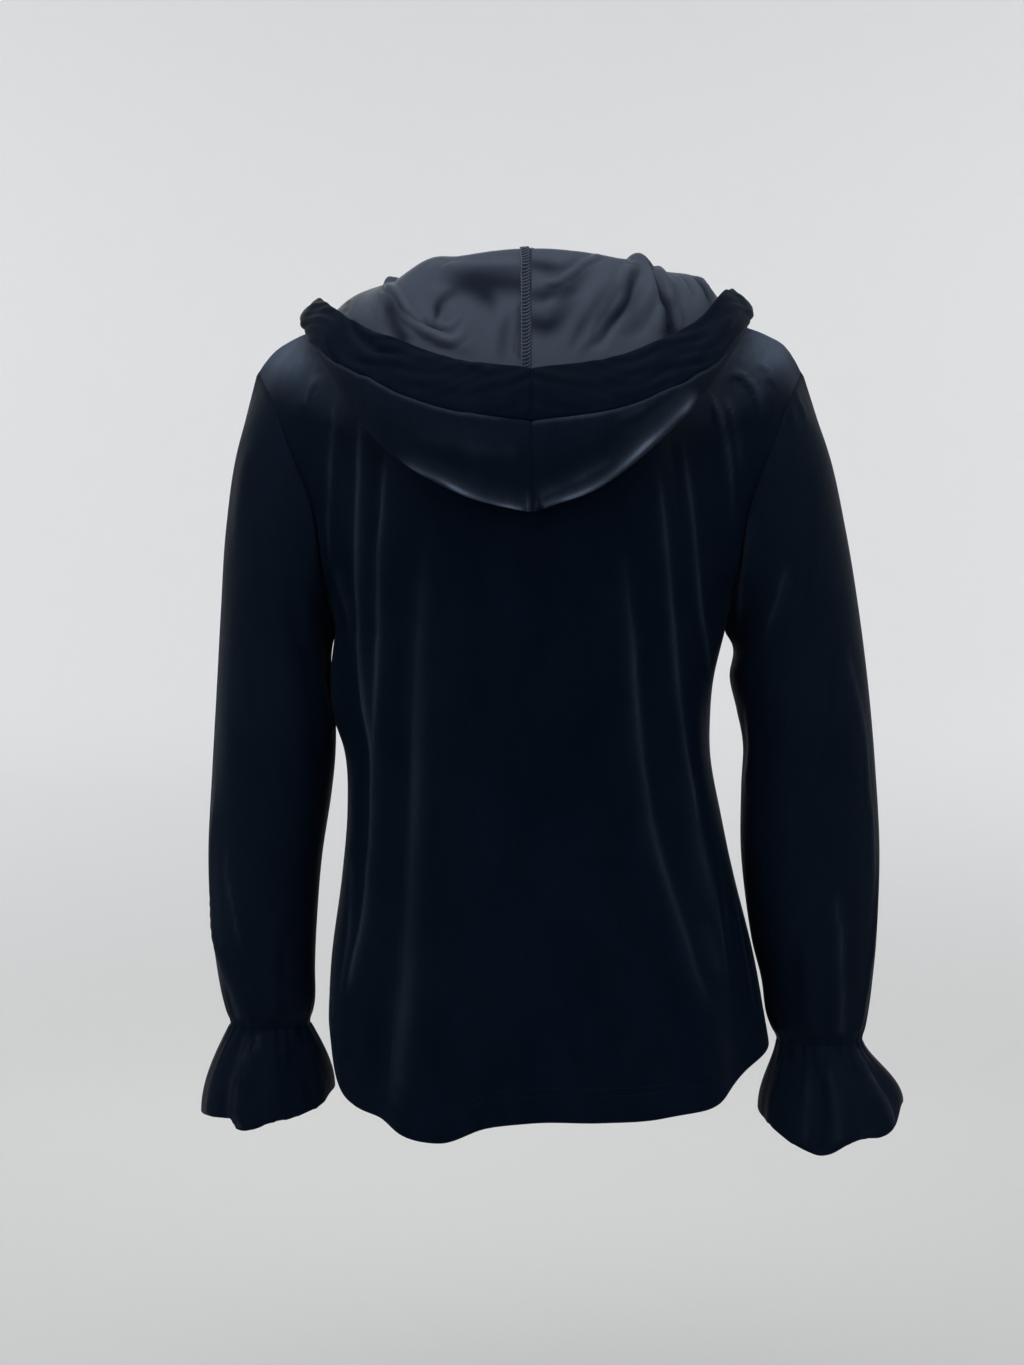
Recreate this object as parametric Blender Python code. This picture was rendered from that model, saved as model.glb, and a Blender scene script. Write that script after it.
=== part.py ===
"""A hooded jacket in stretch velvet, hollow and in its worn shape, with the hood down.

Metres, +Z up. The front of the jacket faces -Y and the wearer's left is at +X. The origin is the
middle of the neck opening at the height of the nape seam, where the wearer's shoulders hold it.

Each cloth piece is one wall: a grid of points on its outer face, worked out from the sections in the
tables below, and the same grid moved in by the cloth's thickness. Pieces meet with a seam gap.
"""

import math

import bmesh
import bpy
import numpy as np
from mathutils import Matrix

# Cloth
CLOTH = 0.0016  # thickness of the velvet
HEM_FOLD = 0.0010  # how much thicker a turned hem is
HEM_HEIGHT = 0.020
SEAM = 0.00015  # each piece stops this short of its seam line
BAND_WIDTH = 0.044  # hood band, from its seam to the face edge
BAND_THICKNESS = 2 * CLOTH
BAND_CROWN = 0.0012  # how far the band's middle stands out

# Body
UNDERARM_Z = -0.278
UNDERARM_X = 0.155
RING_POWER = 2.3  # 2 is an ellipse, more is squarer
ZIP_GAP = 0.0065  # half the width left open between the two fronts

# Grid sizes
NECK_COLUMNS = 9
SHOULDER_COLUMNS = 6
LOWER_ROWS = 12
ARMHOLE_ROWS = 10
SLEEVE_RINGS = 19
RUFFLE_COLUMNS = 44
RUFFLE_RINGS = 6
HOOD_ROWS = 20
BAND_ROWS = 6
ZIP_ROWS = 14

# The body below the underarm. left and right are the side seams' x, back and front the depths.
BODY_SECTIONS = {
    "height": (-0.680, -0.610, -0.534, -0.470, -0.422, -0.374, -0.330, UNDERARM_Z),
    "left": (0.174, 0.166, 0.157, 0.148, 0.144, 0.1475, 0.1552, UNDERARM_X),
    "right": (0.202, 0.191, 0.178, 0.162, 0.151, 0.1425, 0.1445, UNDERARM_X),
    "back": (0.136, 0.129, 0.118, 0.108, 0.105, 0.107, 0.112, 0.118),
    "front": (0.130, 0.125, 0.119, 0.113, 0.112, 0.116, 0.123, 0.128),
}

# From the underarm (share 0) to the shoulder (share 1): the middle of each panel, and its armhole.
RISE = {
    "share": (0.0, 0.2, 0.4, 0.6, 0.8, 1.0),
    "back_y": (0.118, 0.119, 0.113, 0.098, 0.077, 0.055),
    "back_z": (UNDERARM_Z, -0.205, -0.145, -0.088, -0.038, 0.0),
    "front_y": (0.128, 0.130, 0.128, 0.122, 0.114, 0.105),
    "front_z": (UNDERARM_Z, -0.240, -0.206, -0.174, -0.145, -0.118),
    "armhole_z": (UNDERARM_Z, -0.238, -0.186, -0.140, -0.098, -0.0716),
    "back_armhole_x": (UNDERARM_X, 0.161, 0.168, 0.186, 0.203, 0.218),
    "back_armhole_y": (0.0, 0.046, 0.061, 0.058, 0.038, 0.0),
    "front_armhole_x": (UNDERARM_X, 0.157, 0.163, 0.177, 0.198, 0.218),
    "front_armhole_y": (0.0, 0.044, 0.058, 0.056, 0.038, 0.0),
}
SHOULDER_SEAM = {
    "x": (0.088, 0.130, 0.165, 0.190, 0.206, 0.218),
    "left": (-0.012, -0.026, -0.038, -0.0485, -0.0595, -0.0716),
    "right": (-0.012, -0.024, -0.033, -0.0420, -0.0525, -0.0716),
}
ARMHOLE_MIDDLE_Z = -0.176

# Height of the shirt-tail hem, by how far across it is: the wearer's left is positive.
BACK_HEM = {
    "across": (-0.210, -0.191, -0.175, -0.158, -0.139, -0.122, -0.095, -0.050, 0.0,
               0.034, 0.064, 0.090, 0.113, 0.126, 0.140, 0.150, 0.166, 0.180),
    "height": (-0.600, -0.6046, -0.612, -0.620, -0.6306, -0.635, -0.639, -0.6405, -0.6404,
               -0.646, -0.6567, -0.649, -0.636, -0.630, -0.618, -0.602, -0.587, -0.582),
}
FRONT_HEM = {
    "across": (-0.210, -0.191, -0.170, -0.140, -0.100, -0.050, 0.0, 0.050, 0.100, 0.140, 0.166, 0.180),
    "height": (-0.602, -0.6046, -0.611, -0.620, -0.627, -0.628, -0.624, -0.628, -0.624, -0.606, -0.587, -0.582),
}

# Long soft folds that hang from the shoulder blades and the bust: where each starts and ends,
# how wide it is and how far it stands out (or in, when negative).
BACK_FOLDS = (
    # top_x, top_z, low_x, low_z, width, height
    (0.112, -0.200, 0.138, -0.560, 0.014, 0.005),
    (0.082, -0.300, 0.093, -0.690, 0.016, 0.007),
    (-0.070, -0.250, -0.130, -0.600, 0.015, 0.006),
    (-0.100, -0.190, -0.134, -0.480, 0.014, 0.005),
    (0.050, -0.480, 0.034, -0.690, 0.020, -0.004),
    (-0.150, -0.420, -0.170, -0.640, 0.016, -0.004),
)
FRONT_FOLDS = (
    (0.075, -0.300, 0.060, -0.660, 0.018, 0.006),
    (0.120, -0.260, 0.128, -0.620, 0.015, 0.005),
    (0.097, -0.420, 0.095, -0.660, 0.014, -0.004),
    (0.125, -0.120, 0.090, -0.210, 0.016, 0.003),
)
BUST = {"across": 0.082, "height": -0.262, "reach": 0.044, "depth": 0.013}

# Each sleeve's rings below the armhole: its outer and inner points, and its depth to back and front.
LEFT_SLEEVE = (
    # outer_x, outer_z, inner_x, inner_z, back, front
    (0.2330, -0.134, 0.1590, -0.298, 0.062, 0.058),
    (0.2424, -0.198, 0.1585, -0.320, 0.060, 0.050),
    (0.2465, -0.262, 0.1556, -0.346, 0.058, 0.042),
    (0.2500, -0.326, 0.1556, -0.376, 0.055, 0.036),
    (0.2536, -0.390, 0.1590, -0.410, 0.052, 0.034),
    (0.2568, -0.454, 0.1665, -0.460, 0.048, 0.036),
    (0.2550, -0.508, 0.1705, -0.510, 0.042, 0.038),
    (0.2505, -0.545, 0.1720, -0.545, 0.036, 0.036),
    (0.2455, -0.572, 0.1720, -0.572, 0.031, 0.033),
    (0.2392, -0.592, 0.1760, -0.592, 0.026, 0.028),
)
RIGHT_SLEEVE = (
    (0.2370, -0.134, 0.1630, -0.294, 0.062, 0.058),
    (0.2515, -0.198, 0.1600, -0.316, 0.060, 0.050),
    (0.2620, -0.262, 0.1655, -0.342, 0.058, 0.044),
    (0.2700, -0.326, 0.1705, -0.370, 0.055, 0.040),
    (0.2755, -0.390, 0.1690, -0.405, 0.053, 0.040),
    (0.2788, -0.454, 0.1690, -0.458, 0.050, 0.040),
    (0.2768, -0.518, 0.1765, -0.520, 0.044, 0.040),
    (0.2735, -0.556, 0.1850, -0.556, 0.038, 0.037),
    (0.2700, -0.584, 0.1890, -0.584, 0.032, 0.033),
    (0.2655, -0.605, 0.1975, -0.605, 0.027, 0.027),
)
# Ruffled cuffs: where the flared hem lies, how deep its waves are and how far it dips at one wave.
LEFT_RUFFLE = {"middle_x": 0.2095, "half_width": 0.0530, "half_depth": 0.050, "hem_z": -0.658, "flare": 1.0,
               "slant": -0.060, "dip": 0.011, "dip_at": 82.0, "dip_width": 26.0, "phase": 70.0}
RIGHT_RUFFLE = {"middle_x": 0.2404, "half_width": 0.0575, "half_depth": 0.050, "hem_z": -0.661, "flare": 1.5,
                "slant": 0.020, "dip": 0.0230, "dip_at": 103.0, "dip_width": 42.0, "phase": 75.0}
RUFFLE_WAVES = 7
RUFFLE_WAVE_DEPTH = 0.0060
GATHERS = 22
GATHER_DEPTH = 0.0012

# The hood, by direction round the neck: 0 is straight back and 180 straight forward. Each section
# runs from the neck seam over the crest, lies on the back or shoulder, turns at the fold and
# comes up over the belly to the rim, which is the edge of the face opening. r is from the z axis.
HOOD_SECTIONS = {
    "azimuth": (0.0, 22.0, 45.0, 67.0, 90.0, 112.0, 135.0, 157.0, 176.5),
    "neck_r": (0.055, 0.059, 0.068, 0.080, 0.088, 0.089, 0.088, 0.094, 0.1055),
    "neck_z": (0.000, -0.001, -0.004, -0.008, -0.012, -0.030, -0.060, -0.095, -0.118),
    "crest_r": (0.066, 0.071, 0.081, 0.095, 0.104, 0.102, 0.098, 0.100, 0.1090),
    "crest_z": (0.0115, 0.0105, 0.008, 0.002, -0.006, -0.018, -0.042, -0.076, -0.1010),
    "lay_r": (0.110, 0.118, 0.127, 0.136, 0.142, 0.134, 0.116, 0.108, 0.1190),
    "lay_z": (-0.088, -0.078, -0.058, -0.034, -0.016, -0.030, -0.050, -0.072, -0.0940),
    "fold_r": (0.137, 0.146, 0.160, 0.165, 0.168, 0.160, 0.134, 0.118, 0.1300),
    "fold_z": (-0.203, -0.178, -0.130, -0.070, -0.038, -0.056, -0.072, -0.088, -0.0990),
    "belly_r": (0.163, 0.168, 0.176, 0.182, 0.184, 0.176, 0.148, 0.128, 0.1360),
    "belly_z": (-0.164, -0.146, -0.106, -0.062, -0.030, -0.061, -0.092, -0.106, -0.1100),
    "rim_r": (0.147, 0.147, 0.152, 0.161, 0.172, 0.188, 0.156, 0.135, 0.1380),
    "rim_z": (-0.098, -0.089, -0.064, -0.038, -0.013, -0.060, -0.106, -0.122, -0.1220),
}
HOOD_RIGHT_LIFT = 0.008  # the right side of the hood sits this much higher over its shoulder,
HOOD_RIGHT_DRAW = 0.007  # and this much nearer the neck
HOOD_CLEARANCE = 0.0008  # from the body panels that it lies on
HOOD_SOFTNESS = 55  # smoothing passes that round the hood's folds
TURN_WEIGHT = 0.03  # metres of cloth that a radian of bend counts for when rows are spread

# Zip
ZIP_TOP_DROP = 0.008  # the tapes end this far below the neck seam
TAPE_WIDTH = 0.014
TAPE_THICKNESS = 0.0010
TAPE_MIDDLE_GAP = 0.0003  # half the width between the two tapes
SLIDER_DROP = 0.0087  # slider's middle, below the top of the zip
SLIDER = {"width": 0.0088, "length": 0.0110, "plate": 0.0014, "neck_width": 0.0010, "neck_length": 0.0035}
BAIL = {"width": 0.0020, "bar": 0.0011, "up": 0.0032, "down": 0.0026, "rise": 0.0014}
PULL = {"width": 0.0054, "length": 0.0240, "thickness": 0.0010, "window": 0.0034, "window_end": 0.0046,
        "bar": 0.0005}
CLEARANCE = 0.0004

VELVET = {"colour": (0.006, 0.007, 0.011, 1.0), "roughness": 0.85, "metallic": 0.0}
TAPE = {"colour": (0.010, 0.010, 0.012, 1.0), "roughness": 0.80, "metallic": 0.0}
METAL = {"colour": (0.060, 0.060, 0.065, 1.0), "roughness": 0.35, "metallic": 1.0}


def smooth(knots, values, at):
    """The cubic curve through values at rising knots, read at each place of `at`."""
    knots, values, at = np.asarray(knots, float), np.asarray(values, float), np.atleast_1d(at)
    slopes = np.gradient(values, knots, axis=0)
    k = np.clip(np.searchsorted(knots, at) - 1, 0, len(knots) - 2)
    step = (knots[k + 1] - knots[k]).reshape((-1,) + (1,) * (values.ndim - 1))
    t = (at - knots[k]).reshape(step.shape) / step
    return (
        (2 * t**3 - 3 * t**2 + 1) * values[k]
        + (t**3 - 2 * t**2 + t) * step * slopes[k]
        + (3 * t**2 - 2 * t**3) * values[k + 1]
        + (t**3 - t**2) * step * slopes[k + 1]
    )


def unit(vectors):
    """Each vector, one long."""
    return vectors / np.maximum(np.linalg.norm(vectors, axis=-1, keepdims=True), 1e-12)


def bump(distance):
    """1 at 0, falling smoothly to almost 0 at 2."""
    return np.exp(-(distance**2))


def grid_normals(grid, closed):
    """The direction across the cloth at each point of a grid, from its rows and columns."""
    along = np.gradient(grid, axis=0)
    if closed:
        across = np.roll(grid, -1, axis=1) - np.roll(grid, 1, axis=1)
    else:
        across = np.gradient(grid, axis=1)
    return unit(np.cross(across, along))


def dress(obj, finish):
    """Gives the object a material of its own."""
    material = bpy.data.materials.new(obj.name)
    material.use_nodes = True
    shader = material.node_tree.nodes["Principled BSDF"]
    shader.inputs["Base Color"].default_value = finish["colour"]
    shader.inputs["Roughness"].default_value = finish["roughness"]
    shader.inputs["Metallic"].default_value = finish["metallic"]
    obj.data.materials.append(material)


def cloth_wall(name, outer, normals, thickness, closed=False, finish=None):
    """One closed solid from a grid of points on its outer face. thickness is a number or one for each row."""
    rows, columns = outer.shape[:2]
    depth = np.broadcast_to(np.asarray(thickness, float), (rows,))[:, None, None]
    points = np.concatenate([outer, outer - normals * depth]).reshape(-1, 3)

    def at(layer, i, j):
        return (layer * rows + i) * columns + j % columns

    faces = []
    strips = columns if closed else columns - 1
    for j in range(strips):
        for i in range(rows - 1):
            faces.append([at(0, i, j), at(0, i, j + 1), at(0, i + 1, j + 1), at(0, i + 1, j)])
            faces.append([at(1, i, j), at(1, i + 1, j), at(1, i + 1, j + 1), at(1, i, j + 1)])
        for i in (0, rows - 1):
            faces.append([at(0, i, j), at(1, i, j), at(1, i, j + 1), at(0, i, j + 1)])
    if not closed:
        for j in (0, columns - 1):
            for i in range(rows - 1):
                faces.append([at(0, i, j), at(0, i + 1, j), at(1, i + 1, j), at(1, i, j)])
    mesh = bpy.data.meshes.new(name)
    mesh.from_pydata(points.tolist(), [], faces)
    return add_mesh(name, mesh, finish or VELVET)


def add_mesh(name, mesh, finish):
    """Puts a mesh into the scene as one shaded object whose faces point out."""
    shape = bmesh.new()
    shape.from_mesh(mesh)
    bmesh.ops.recalc_face_normals(shape, faces=shape.faces)
    shape.to_mesh(mesh)
    shape.free()
    mesh.shade_smooth()
    mesh.set_sharp_from_angle(angle=math.radians(40))
    obj = bpy.data.objects.new(name, mesh)
    bpy.context.scene.collection.objects.link(obj)
    dress(obj, finish)
    return obj


def neck_points(azimuths):
    """The neck seam at these directions, in degrees, on the wearer's left."""
    radius = smooth(HOOD_SECTIONS["azimuth"], HOOD_SECTIONS["neck_r"], azimuths)
    height = smooth(HOOD_SECTIONS["azimuth"], HOOD_SECTIONS["neck_z"], azimuths)
    angle = np.radians(azimuths)
    return np.stack([radius * np.sin(angle), radius * np.cos(angle), height], axis=1)


def neck_azimuths(face):
    """The directions of a panel's neck columns, from its middle to the shoulder seam."""
    middle = 0.0 if face == "back" else HOOD_SECTIONS["azimuth"][-1]
    return np.linspace(middle, 90.0, NECK_COLUMNS + 1)


def ring_half(side_x, depth, shares):
    """Half of a panel's level section, from its middle to the side seam."""
    angle = shares * math.pi / 2
    power = 2 / RING_POWER
    return side_x * np.sin(angle) ** power, depth * np.cos(angle) ** power


def top_edge(face, side):
    """A panel's neck and shoulder seam, from its middle out to the shoulder tip."""
    neck = neck_points(neck_azimuths(face))
    seam_x = np.linspace(SHOULDER_SEAM["x"][0], SHOULDER_SEAM["x"][-1], SHOULDER_COLUMNS + 1)[1:]
    seam_z = smooth(SHOULDER_SEAM["x"], SHOULDER_SEAM[side], seam_x)
    return np.concatenate([neck, np.stack([seam_x, np.zeros_like(seam_x), seam_z], axis=1)])


def rise_point(column, share):
    """One column of the RISE table at each share."""
    return smooth(RISE["share"], RISE[column], share)


def upper_half(face, side, shares, sign):
    """Half a panel above the underarm, for each share of the way up: blended between its four edges."""
    top = top_edge(face, side)
    columns = np.linspace(0, 1, len(top))
    start = ZIP_GAP if face == "front" else 0.0
    ring_x, ring_y = ring_half(UNDERARM_X, RISE[face + "_y"][0], columns)
    ring_x = np.maximum(ring_x, start)
    low = np.stack([ring_x, sign * ring_y, np.full_like(ring_x, UNDERARM_Z)], axis=1)
    angle = shares * math.pi / 2
    blend = np.stack([shares, 1 - np.cos(angle), np.sin(angle)], axis=1)[:, None, :]
    middle = np.stack(
        [np.full_like(shares, start), sign * rise_point(face + "_y", shares), rise_point(face + "_z", shares)],
        axis=1,
    )
    edge = np.stack(
        [
            rise_point(face + "_armhole_x", shares),
            sign * rise_point(face + "_armhole_y", shares),
            rise_point("armhole_z", shares),
        ],
        axis=1,
    )
    rows = (1 - blend) * low + blend * top
    middle_error = middle[:, None, :] - rows[:, :1]
    edge_error = edge[:, None, :] - rows[:, -1:]
    across = columns[None, :, None]
    return rows + (1 - across) * middle_error + across * edge_error


def half_panel(face, side):
    """A panel's outer points from its middle to one side seam and armhole, from hem to shoulder."""
    sign = 1 if face == "back" else -1
    levels = np.array(BODY_SECTIONS["height"])
    columns = np.linspace(0, 1, NECK_COLUMNS + SHOULDER_COLUMNS + 1)
    start = ZIP_GAP if face == "front" else 0.0
    keys = []
    for side_x, depth, height in zip(BODY_SECTIONS[side], BODY_SECTIONS[face], levels):
        x, y = ring_half(side_x, depth, columns)
        keys.append(np.stack([np.maximum(x, start), sign * y, np.full_like(x, height)], axis=1))
    keys = np.array(keys)
    upper = upper_half(face, side, np.linspace(0, 1, ARMHOLE_ROWS + 1), sign)
    hem = BACK_HEM if face == "back" else FRONT_HEM
    across = keys[1, :, 0] * (-1 if side == "right" else 1)
    hem_z = smooth(hem["across"], hem["height"], across)
    lower = np.zeros((LOWER_ROWS, len(columns), 3))
    for j in range(len(columns)):
        lower[:, j] = smooth(levels, keys[:, j], np.linspace(hem_z[j], UNDERARM_Z, LOWER_ROWS + 1)[:-1])
    half = np.concatenate([lower, upper])
    if side == "right":
        half[:, :, 0] *= -1
    return half


def fold_lift(points, folds):
    """How far the long folds and the bust lift each point off the plain body shape."""
    lift = np.zeros(points.shape[:2])
    for top_x, top_z, low_x, low_z, width, height in folds:
        share = np.clip((points[..., 2] - top_z) / (low_z - top_z), 0, 1)
        line = top_x + (low_x - top_x) * share
        grow = np.sin(np.clip(share * 1.6, 0, 1) * math.pi / 2) ** 2
        lift += height * grow * bump((points[..., 0] - line) / width)
    return lift


def bust_lift(points):
    """The soft rise of a general figure's bust."""
    away = np.hypot(np.abs(points[..., 0]) - BUST["across"], points[..., 2] - BUST["height"])
    return BUST["depth"] * bump(away / BUST["reach"])


def rounded(normals):
    """Normals without their upward part, for folds that hang straight down."""
    return unit(normals * np.array([1.0, 1.0, 0.0]))


def armhole_direction(points, out=1.0):
    """Away from the middle of the armhole and outwards: the way the thickness lies at that seam."""
    away = unit(points * np.array([0.0, 1.0, 1.0]) - np.array([0.0, 0.0, ARMHOLE_MIDDLE_Z]))
    up = np.clip((points[..., 2] - UNDERARM_Z) / (SHOULDER_SEAM["left"][-1] - UNDERARM_Z), 0, 1)
    away[..., 0] = 0.7 * out * up
    return unit(away)


def neck_direction(points):
    """Outwards and a little up from the neck: the way the thickness lies at the neck seam."""
    away = unit(points * np.array([1.0, 1.0, 0.0]))
    return unit(away + np.array([0.0, 0.0, 0.4]))


def hem_thickness(rows_below, rows_above, drop):
    """The wall's thickness for each row: a turned hem below, one layer above."""
    steps = np.linspace(0, drop, rows_below + 1)
    fold = np.clip(1.5 - steps / HEM_HEIGHT, 0, 1) * HEM_FOLD
    return CLOTH + np.concatenate([fold, np.zeros(rows_above)])


def torso_surface(face, side):
    """One half panel with its folds, and the direction of its thickness, ready at every seam."""
    half = half_panel(face, side)
    sign = 1 if face == "back" else -1
    normals = grid_normals(half, closed=False)
    facing = np.sign(np.sum(normals[LOWER_ROWS, 2] * np.array([0, sign, 0])))
    normals *= facing
    mirrored = half * np.array([-1.0 if face == "front" and side == "right" else 1.0, 1.0, 1.0])
    lift = fold_lift(mirrored, BACK_FOLDS if face == "back" else FRONT_FOLDS)
    edge = np.abs(half[..., 0]) - ZIP_GAP
    if face == "front":
        lift = (lift + bust_lift(half)) * (1 - bump(edge / 0.030))
    lift[LOWER_ROWS:, -1] = 0
    lift[:, -1] = 0
    lift[-1] = 0
    lift[-2] *= 0.5
    half = half + rounded(normals) * lift[..., None]
    normals = grid_normals(half, closed=False) * facing
    out = -1.0 if side == "right" else 1.0
    normals[-1, NECK_COLUMNS + 1 :] = unit(np.array([0.4 * out, 0.0, 0.92]))
    normals[:, -1] = np.array([out, 0.0, 0.0])
    normals[LOWER_ROWS:, -1] = armhole_direction(half[LOWER_ROWS:, -1], out)
    normals[-1, : NECK_COLUMNS + 1] = neck_direction(half[-1, : NECK_COLUMNS + 1])
    if face == "front":
        normals[:, 0] = unit(normals[:, 0] * np.array([0.0, 1.0, 1.0]))
    return half, normals


def trim_seams(half, face, side):
    """Moves each seam edge of a half panel back by the seam gap."""
    sign = 1 if face == "back" else -1
    out = -1.0 if side == "right" else 1.0
    half[:, -1, 1] += sign * SEAM
    half[-1, NECK_COLUMNS:, 1] += sign * SEAM
    half[LOWER_ROWS:, -1, 0] -= out * SEAM
    half[-1, : NECK_COLUMNS + 1, 2] -= SEAM
    return half


def build_back():
    """The back panel, cut in one piece from side seam to side seam."""
    left, left_normals = torso_surface("back", "left")
    right, right_normals = torso_surface("back", "right")
    left, right = trim_seams(left, "back", "left"), trim_seams(right, "back", "right")
    middle = unit((left_normals[:, 0] + right_normals[:, 0]) / 2)[:, None]
    grid = np.concatenate([right[:, :0:-1], left], axis=1)
    normals = np.concatenate([right_normals[:, :0:-1], middle, left_normals[:, 1:]], axis=1)
    thickness = hem_thickness(LOWER_ROWS, ARMHOLE_ROWS, UNDERARM_Z - BACK_HEM["height"][8])
    cloth_wall("back", grid, normals, thickness)


def build_front(side):
    """One front, from the zip to its side seam."""
    half, normals = torso_surface("front", side)
    half = trim_seams(half, "front", side)
    thickness = hem_thickness(LOWER_ROWS, ARMHOLE_ROWS, UNDERARM_Z - FRONT_HEM["height"][6])
    cloth_wall("front_" + side, half, normals, thickness)


def sleeve_keys(rows):
    """The armhole and the rings below it, each as the same number of points, on the wearer's left.

    Points run from the shoulder tip down the back to the underarm and up the front.
    """
    shares = np.linspace(0, 1, ARMHOLE_ROWS + 1)
    height = rise_point("armhole_z", shares)
    back = np.stack([rise_point("back_armhole_x", shares), rise_point("back_armhole_y", shares), height], axis=1)
    front = np.stack([rise_point("front_armhole_x", shares), -rise_point("front_armhole_y", shares), height], axis=1)
    armhole = np.concatenate([back[:0:-1], front[:-1]])
    turn = np.arange(2 * ARMHOLE_ROWS) * math.pi / ARMHOLE_ROWS
    keys = [armhole]
    for outer_x, outer_z, inner_x, inner_z, back_y, front_y in rows:
        outer, inner = np.array([outer_x, 0, outer_z]), np.array([inner_x, 0, inner_z])
        depth = np.where(np.sin(turn) > 0, back_y, front_y)
        ring = (outer + inner) / 2 + np.cos(turn)[:, None] * (outer - inner) / 2
        ring[:, 1] = np.sin(turn) * depth
        keys.append(ring)
    return np.array(keys)


def build_sleeve(side, rows):
    """A sleeve from its armhole to the gathered wrist."""
    keys = sleeve_keys(rows)
    places = np.linspace(0, len(keys) - 1, SLEEVE_RINGS + 1)
    grid = smooth(np.arange(len(keys)), keys, places)
    normals = grid_normals(grid, closed=True)
    middle = grid.mean(axis=1, keepdims=True)
    normals *= np.sign(np.sum(normals * (grid - middle), axis=-1).mean())
    normals[0] = armhole_direction(grid[0])
    normals[-1] = unit((grid[-1] - middle[-1]) * np.array([1.0, 1.0, 0.0]))
    grid[0, :, 0] += SEAM
    grid[-1, :, 2] += SEAM
    out = -1.0 if side == "right" else 1.0
    flip = np.array([out, 1.0, 1.0])
    cloth_wall("sleeve_" + side, grid * flip, normals * flip, CLOTH, closed=True)


def build_ruffle(side, rows, ruffle):
    """The flared cuff below the gathered wrist, with its waves."""
    outer_x, wrist_z, inner_x, _, back_y, front_y = rows[-1]
    turn = np.arange(RUFFLE_COLUMNS) * 2 * math.pi / RUFFLE_COLUMNS
    wrist = wrist_ring(outer_x, inner_x, back_y, front_y, wrist_z, turn)
    hem = np.stack(
        [
            ruffle["middle_x"] + ruffle["half_width"] * np.cos(turn),
            ruffle["half_depth"] * np.sin(turn),
            np.full_like(turn, ruffle["hem_z"]),
        ],
        axis=1,
    )
    away = unit((hem - hem.mean(axis=0)) * np.array([1.0, 1.0, 0.0]))
    wave = np.cos(RUFFLE_WAVES * turn + math.radians(ruffle["phase"]))
    dip = bump((np.degrees(turn) - ruffle["dip_at"]) / ruffle["dip_width"])
    hem[:, 2] += ruffle["slant"] * (hem[:, 0] - ruffle["middle_x"]) - ruffle["dip"] * dip
    grid = []
    for t in np.linspace(0, 1, RUFFLE_RINGS + 1):
        flare = math.sin(t * math.pi / 2) ** ruffle["flare"]
        ring = wrist + (hem - wrist) * np.array([flare, flare, t])
        depth = RUFFLE_WAVE_DEPTH * t
        gather = GATHER_DEPTH * np.cos(GATHERS * turn) * (1 - t) * min(1.0, 4 * t)
        grid.append(ring + away * (wave * depth + gather)[:, None])
    grid = np.array(grid)
    normals = grid_normals(grid, closed=True)
    normals *= np.sign(np.sum(normals * away, axis=-1).mean())
    normals[0] = unit((wrist - wrist.mean(axis=0)) * np.array([1.0, 1.0, 0.0]))
    grid[0, :, 2] -= SEAM
    out = -1.0 if side == "right" else 1.0
    flip = np.array([out, 1.0, 1.0])
    cloth_wall("ruffle_" + side, grid * flip, normals * flip, CLOTH, closed=True)


def wrist_ring(outer_x, inner_x, back_y, front_y, height, turn):
    """The wrist, where the sleeve and its ruffle meet."""
    depth = np.where(np.sin(turn) > 0, back_y, front_y)
    x = (outer_x + inner_x) / 2 + np.cos(turn) * (outer_x - inner_x) / 2
    return np.stack([x, np.sin(turn) * depth, np.full_like(turn, height)], axis=1)


def hood_section(azimuth, fine=90):
    """The hood's outer face in one direction, as points of its (r, z) line from neck to rim."""
    names = ("neck", "crest", "lay", "fold", "belly", "rim")
    radius = [smooth(HOOD_SECTIONS["azimuth"], HOOD_SECTIONS[n + "_r"], azimuth)[0] for n in names]
    height = [smooth(HOOD_SECTIONS["azimuth"], HOOD_SECTIONS[n + "_z"], azimuth)[0] for n in names]
    marks = np.stack([radius, height], axis=1)
    spans = np.sqrt(np.linalg.norm(np.diff(marks, axis=0), axis=1))
    knots = np.concatenate([[0], np.cumsum(spans)])
    line = smooth(knots, marks, np.linspace(0, knots[-1], fine))
    for _ in range(HOOD_SOFTNESS):
        line[1:-1] = (line[:-2] + 2 * line[1:-1] + line[2:]) / 4
    return line


def hood_surface(side):
    """Half of the hood's outer face as if on the wearer's left, finely: rows from neck to rim, columns round the neck."""
    azimuths = np.concatenate([neck_azimuths("back"), neck_azimuths("front")[-2::-1]])
    columns = []
    for azimuth in azimuths:
        line = hood_section(azimuth)
        angle = math.radians(azimuth)
        columns.append(np.stack([line[:, 0] * math.sin(angle), line[:, 0] * math.cos(angle), line[:, 1]], axis=1))
    grid = np.stack(columns, axis=1)
    if side == "right":
        over = over_shoulder(grid)
        grid[..., 2] += HOOD_RIGHT_LIFT * over
        grid[..., 0] -= HOOD_RIGHT_DRAW * over
    ramp = np.clip(np.linspace(0, 6, len(grid)), 0, 1)[:, None]
    return rest_on(grid, ramp * HOOD_CLEARANCE, side)


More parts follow.
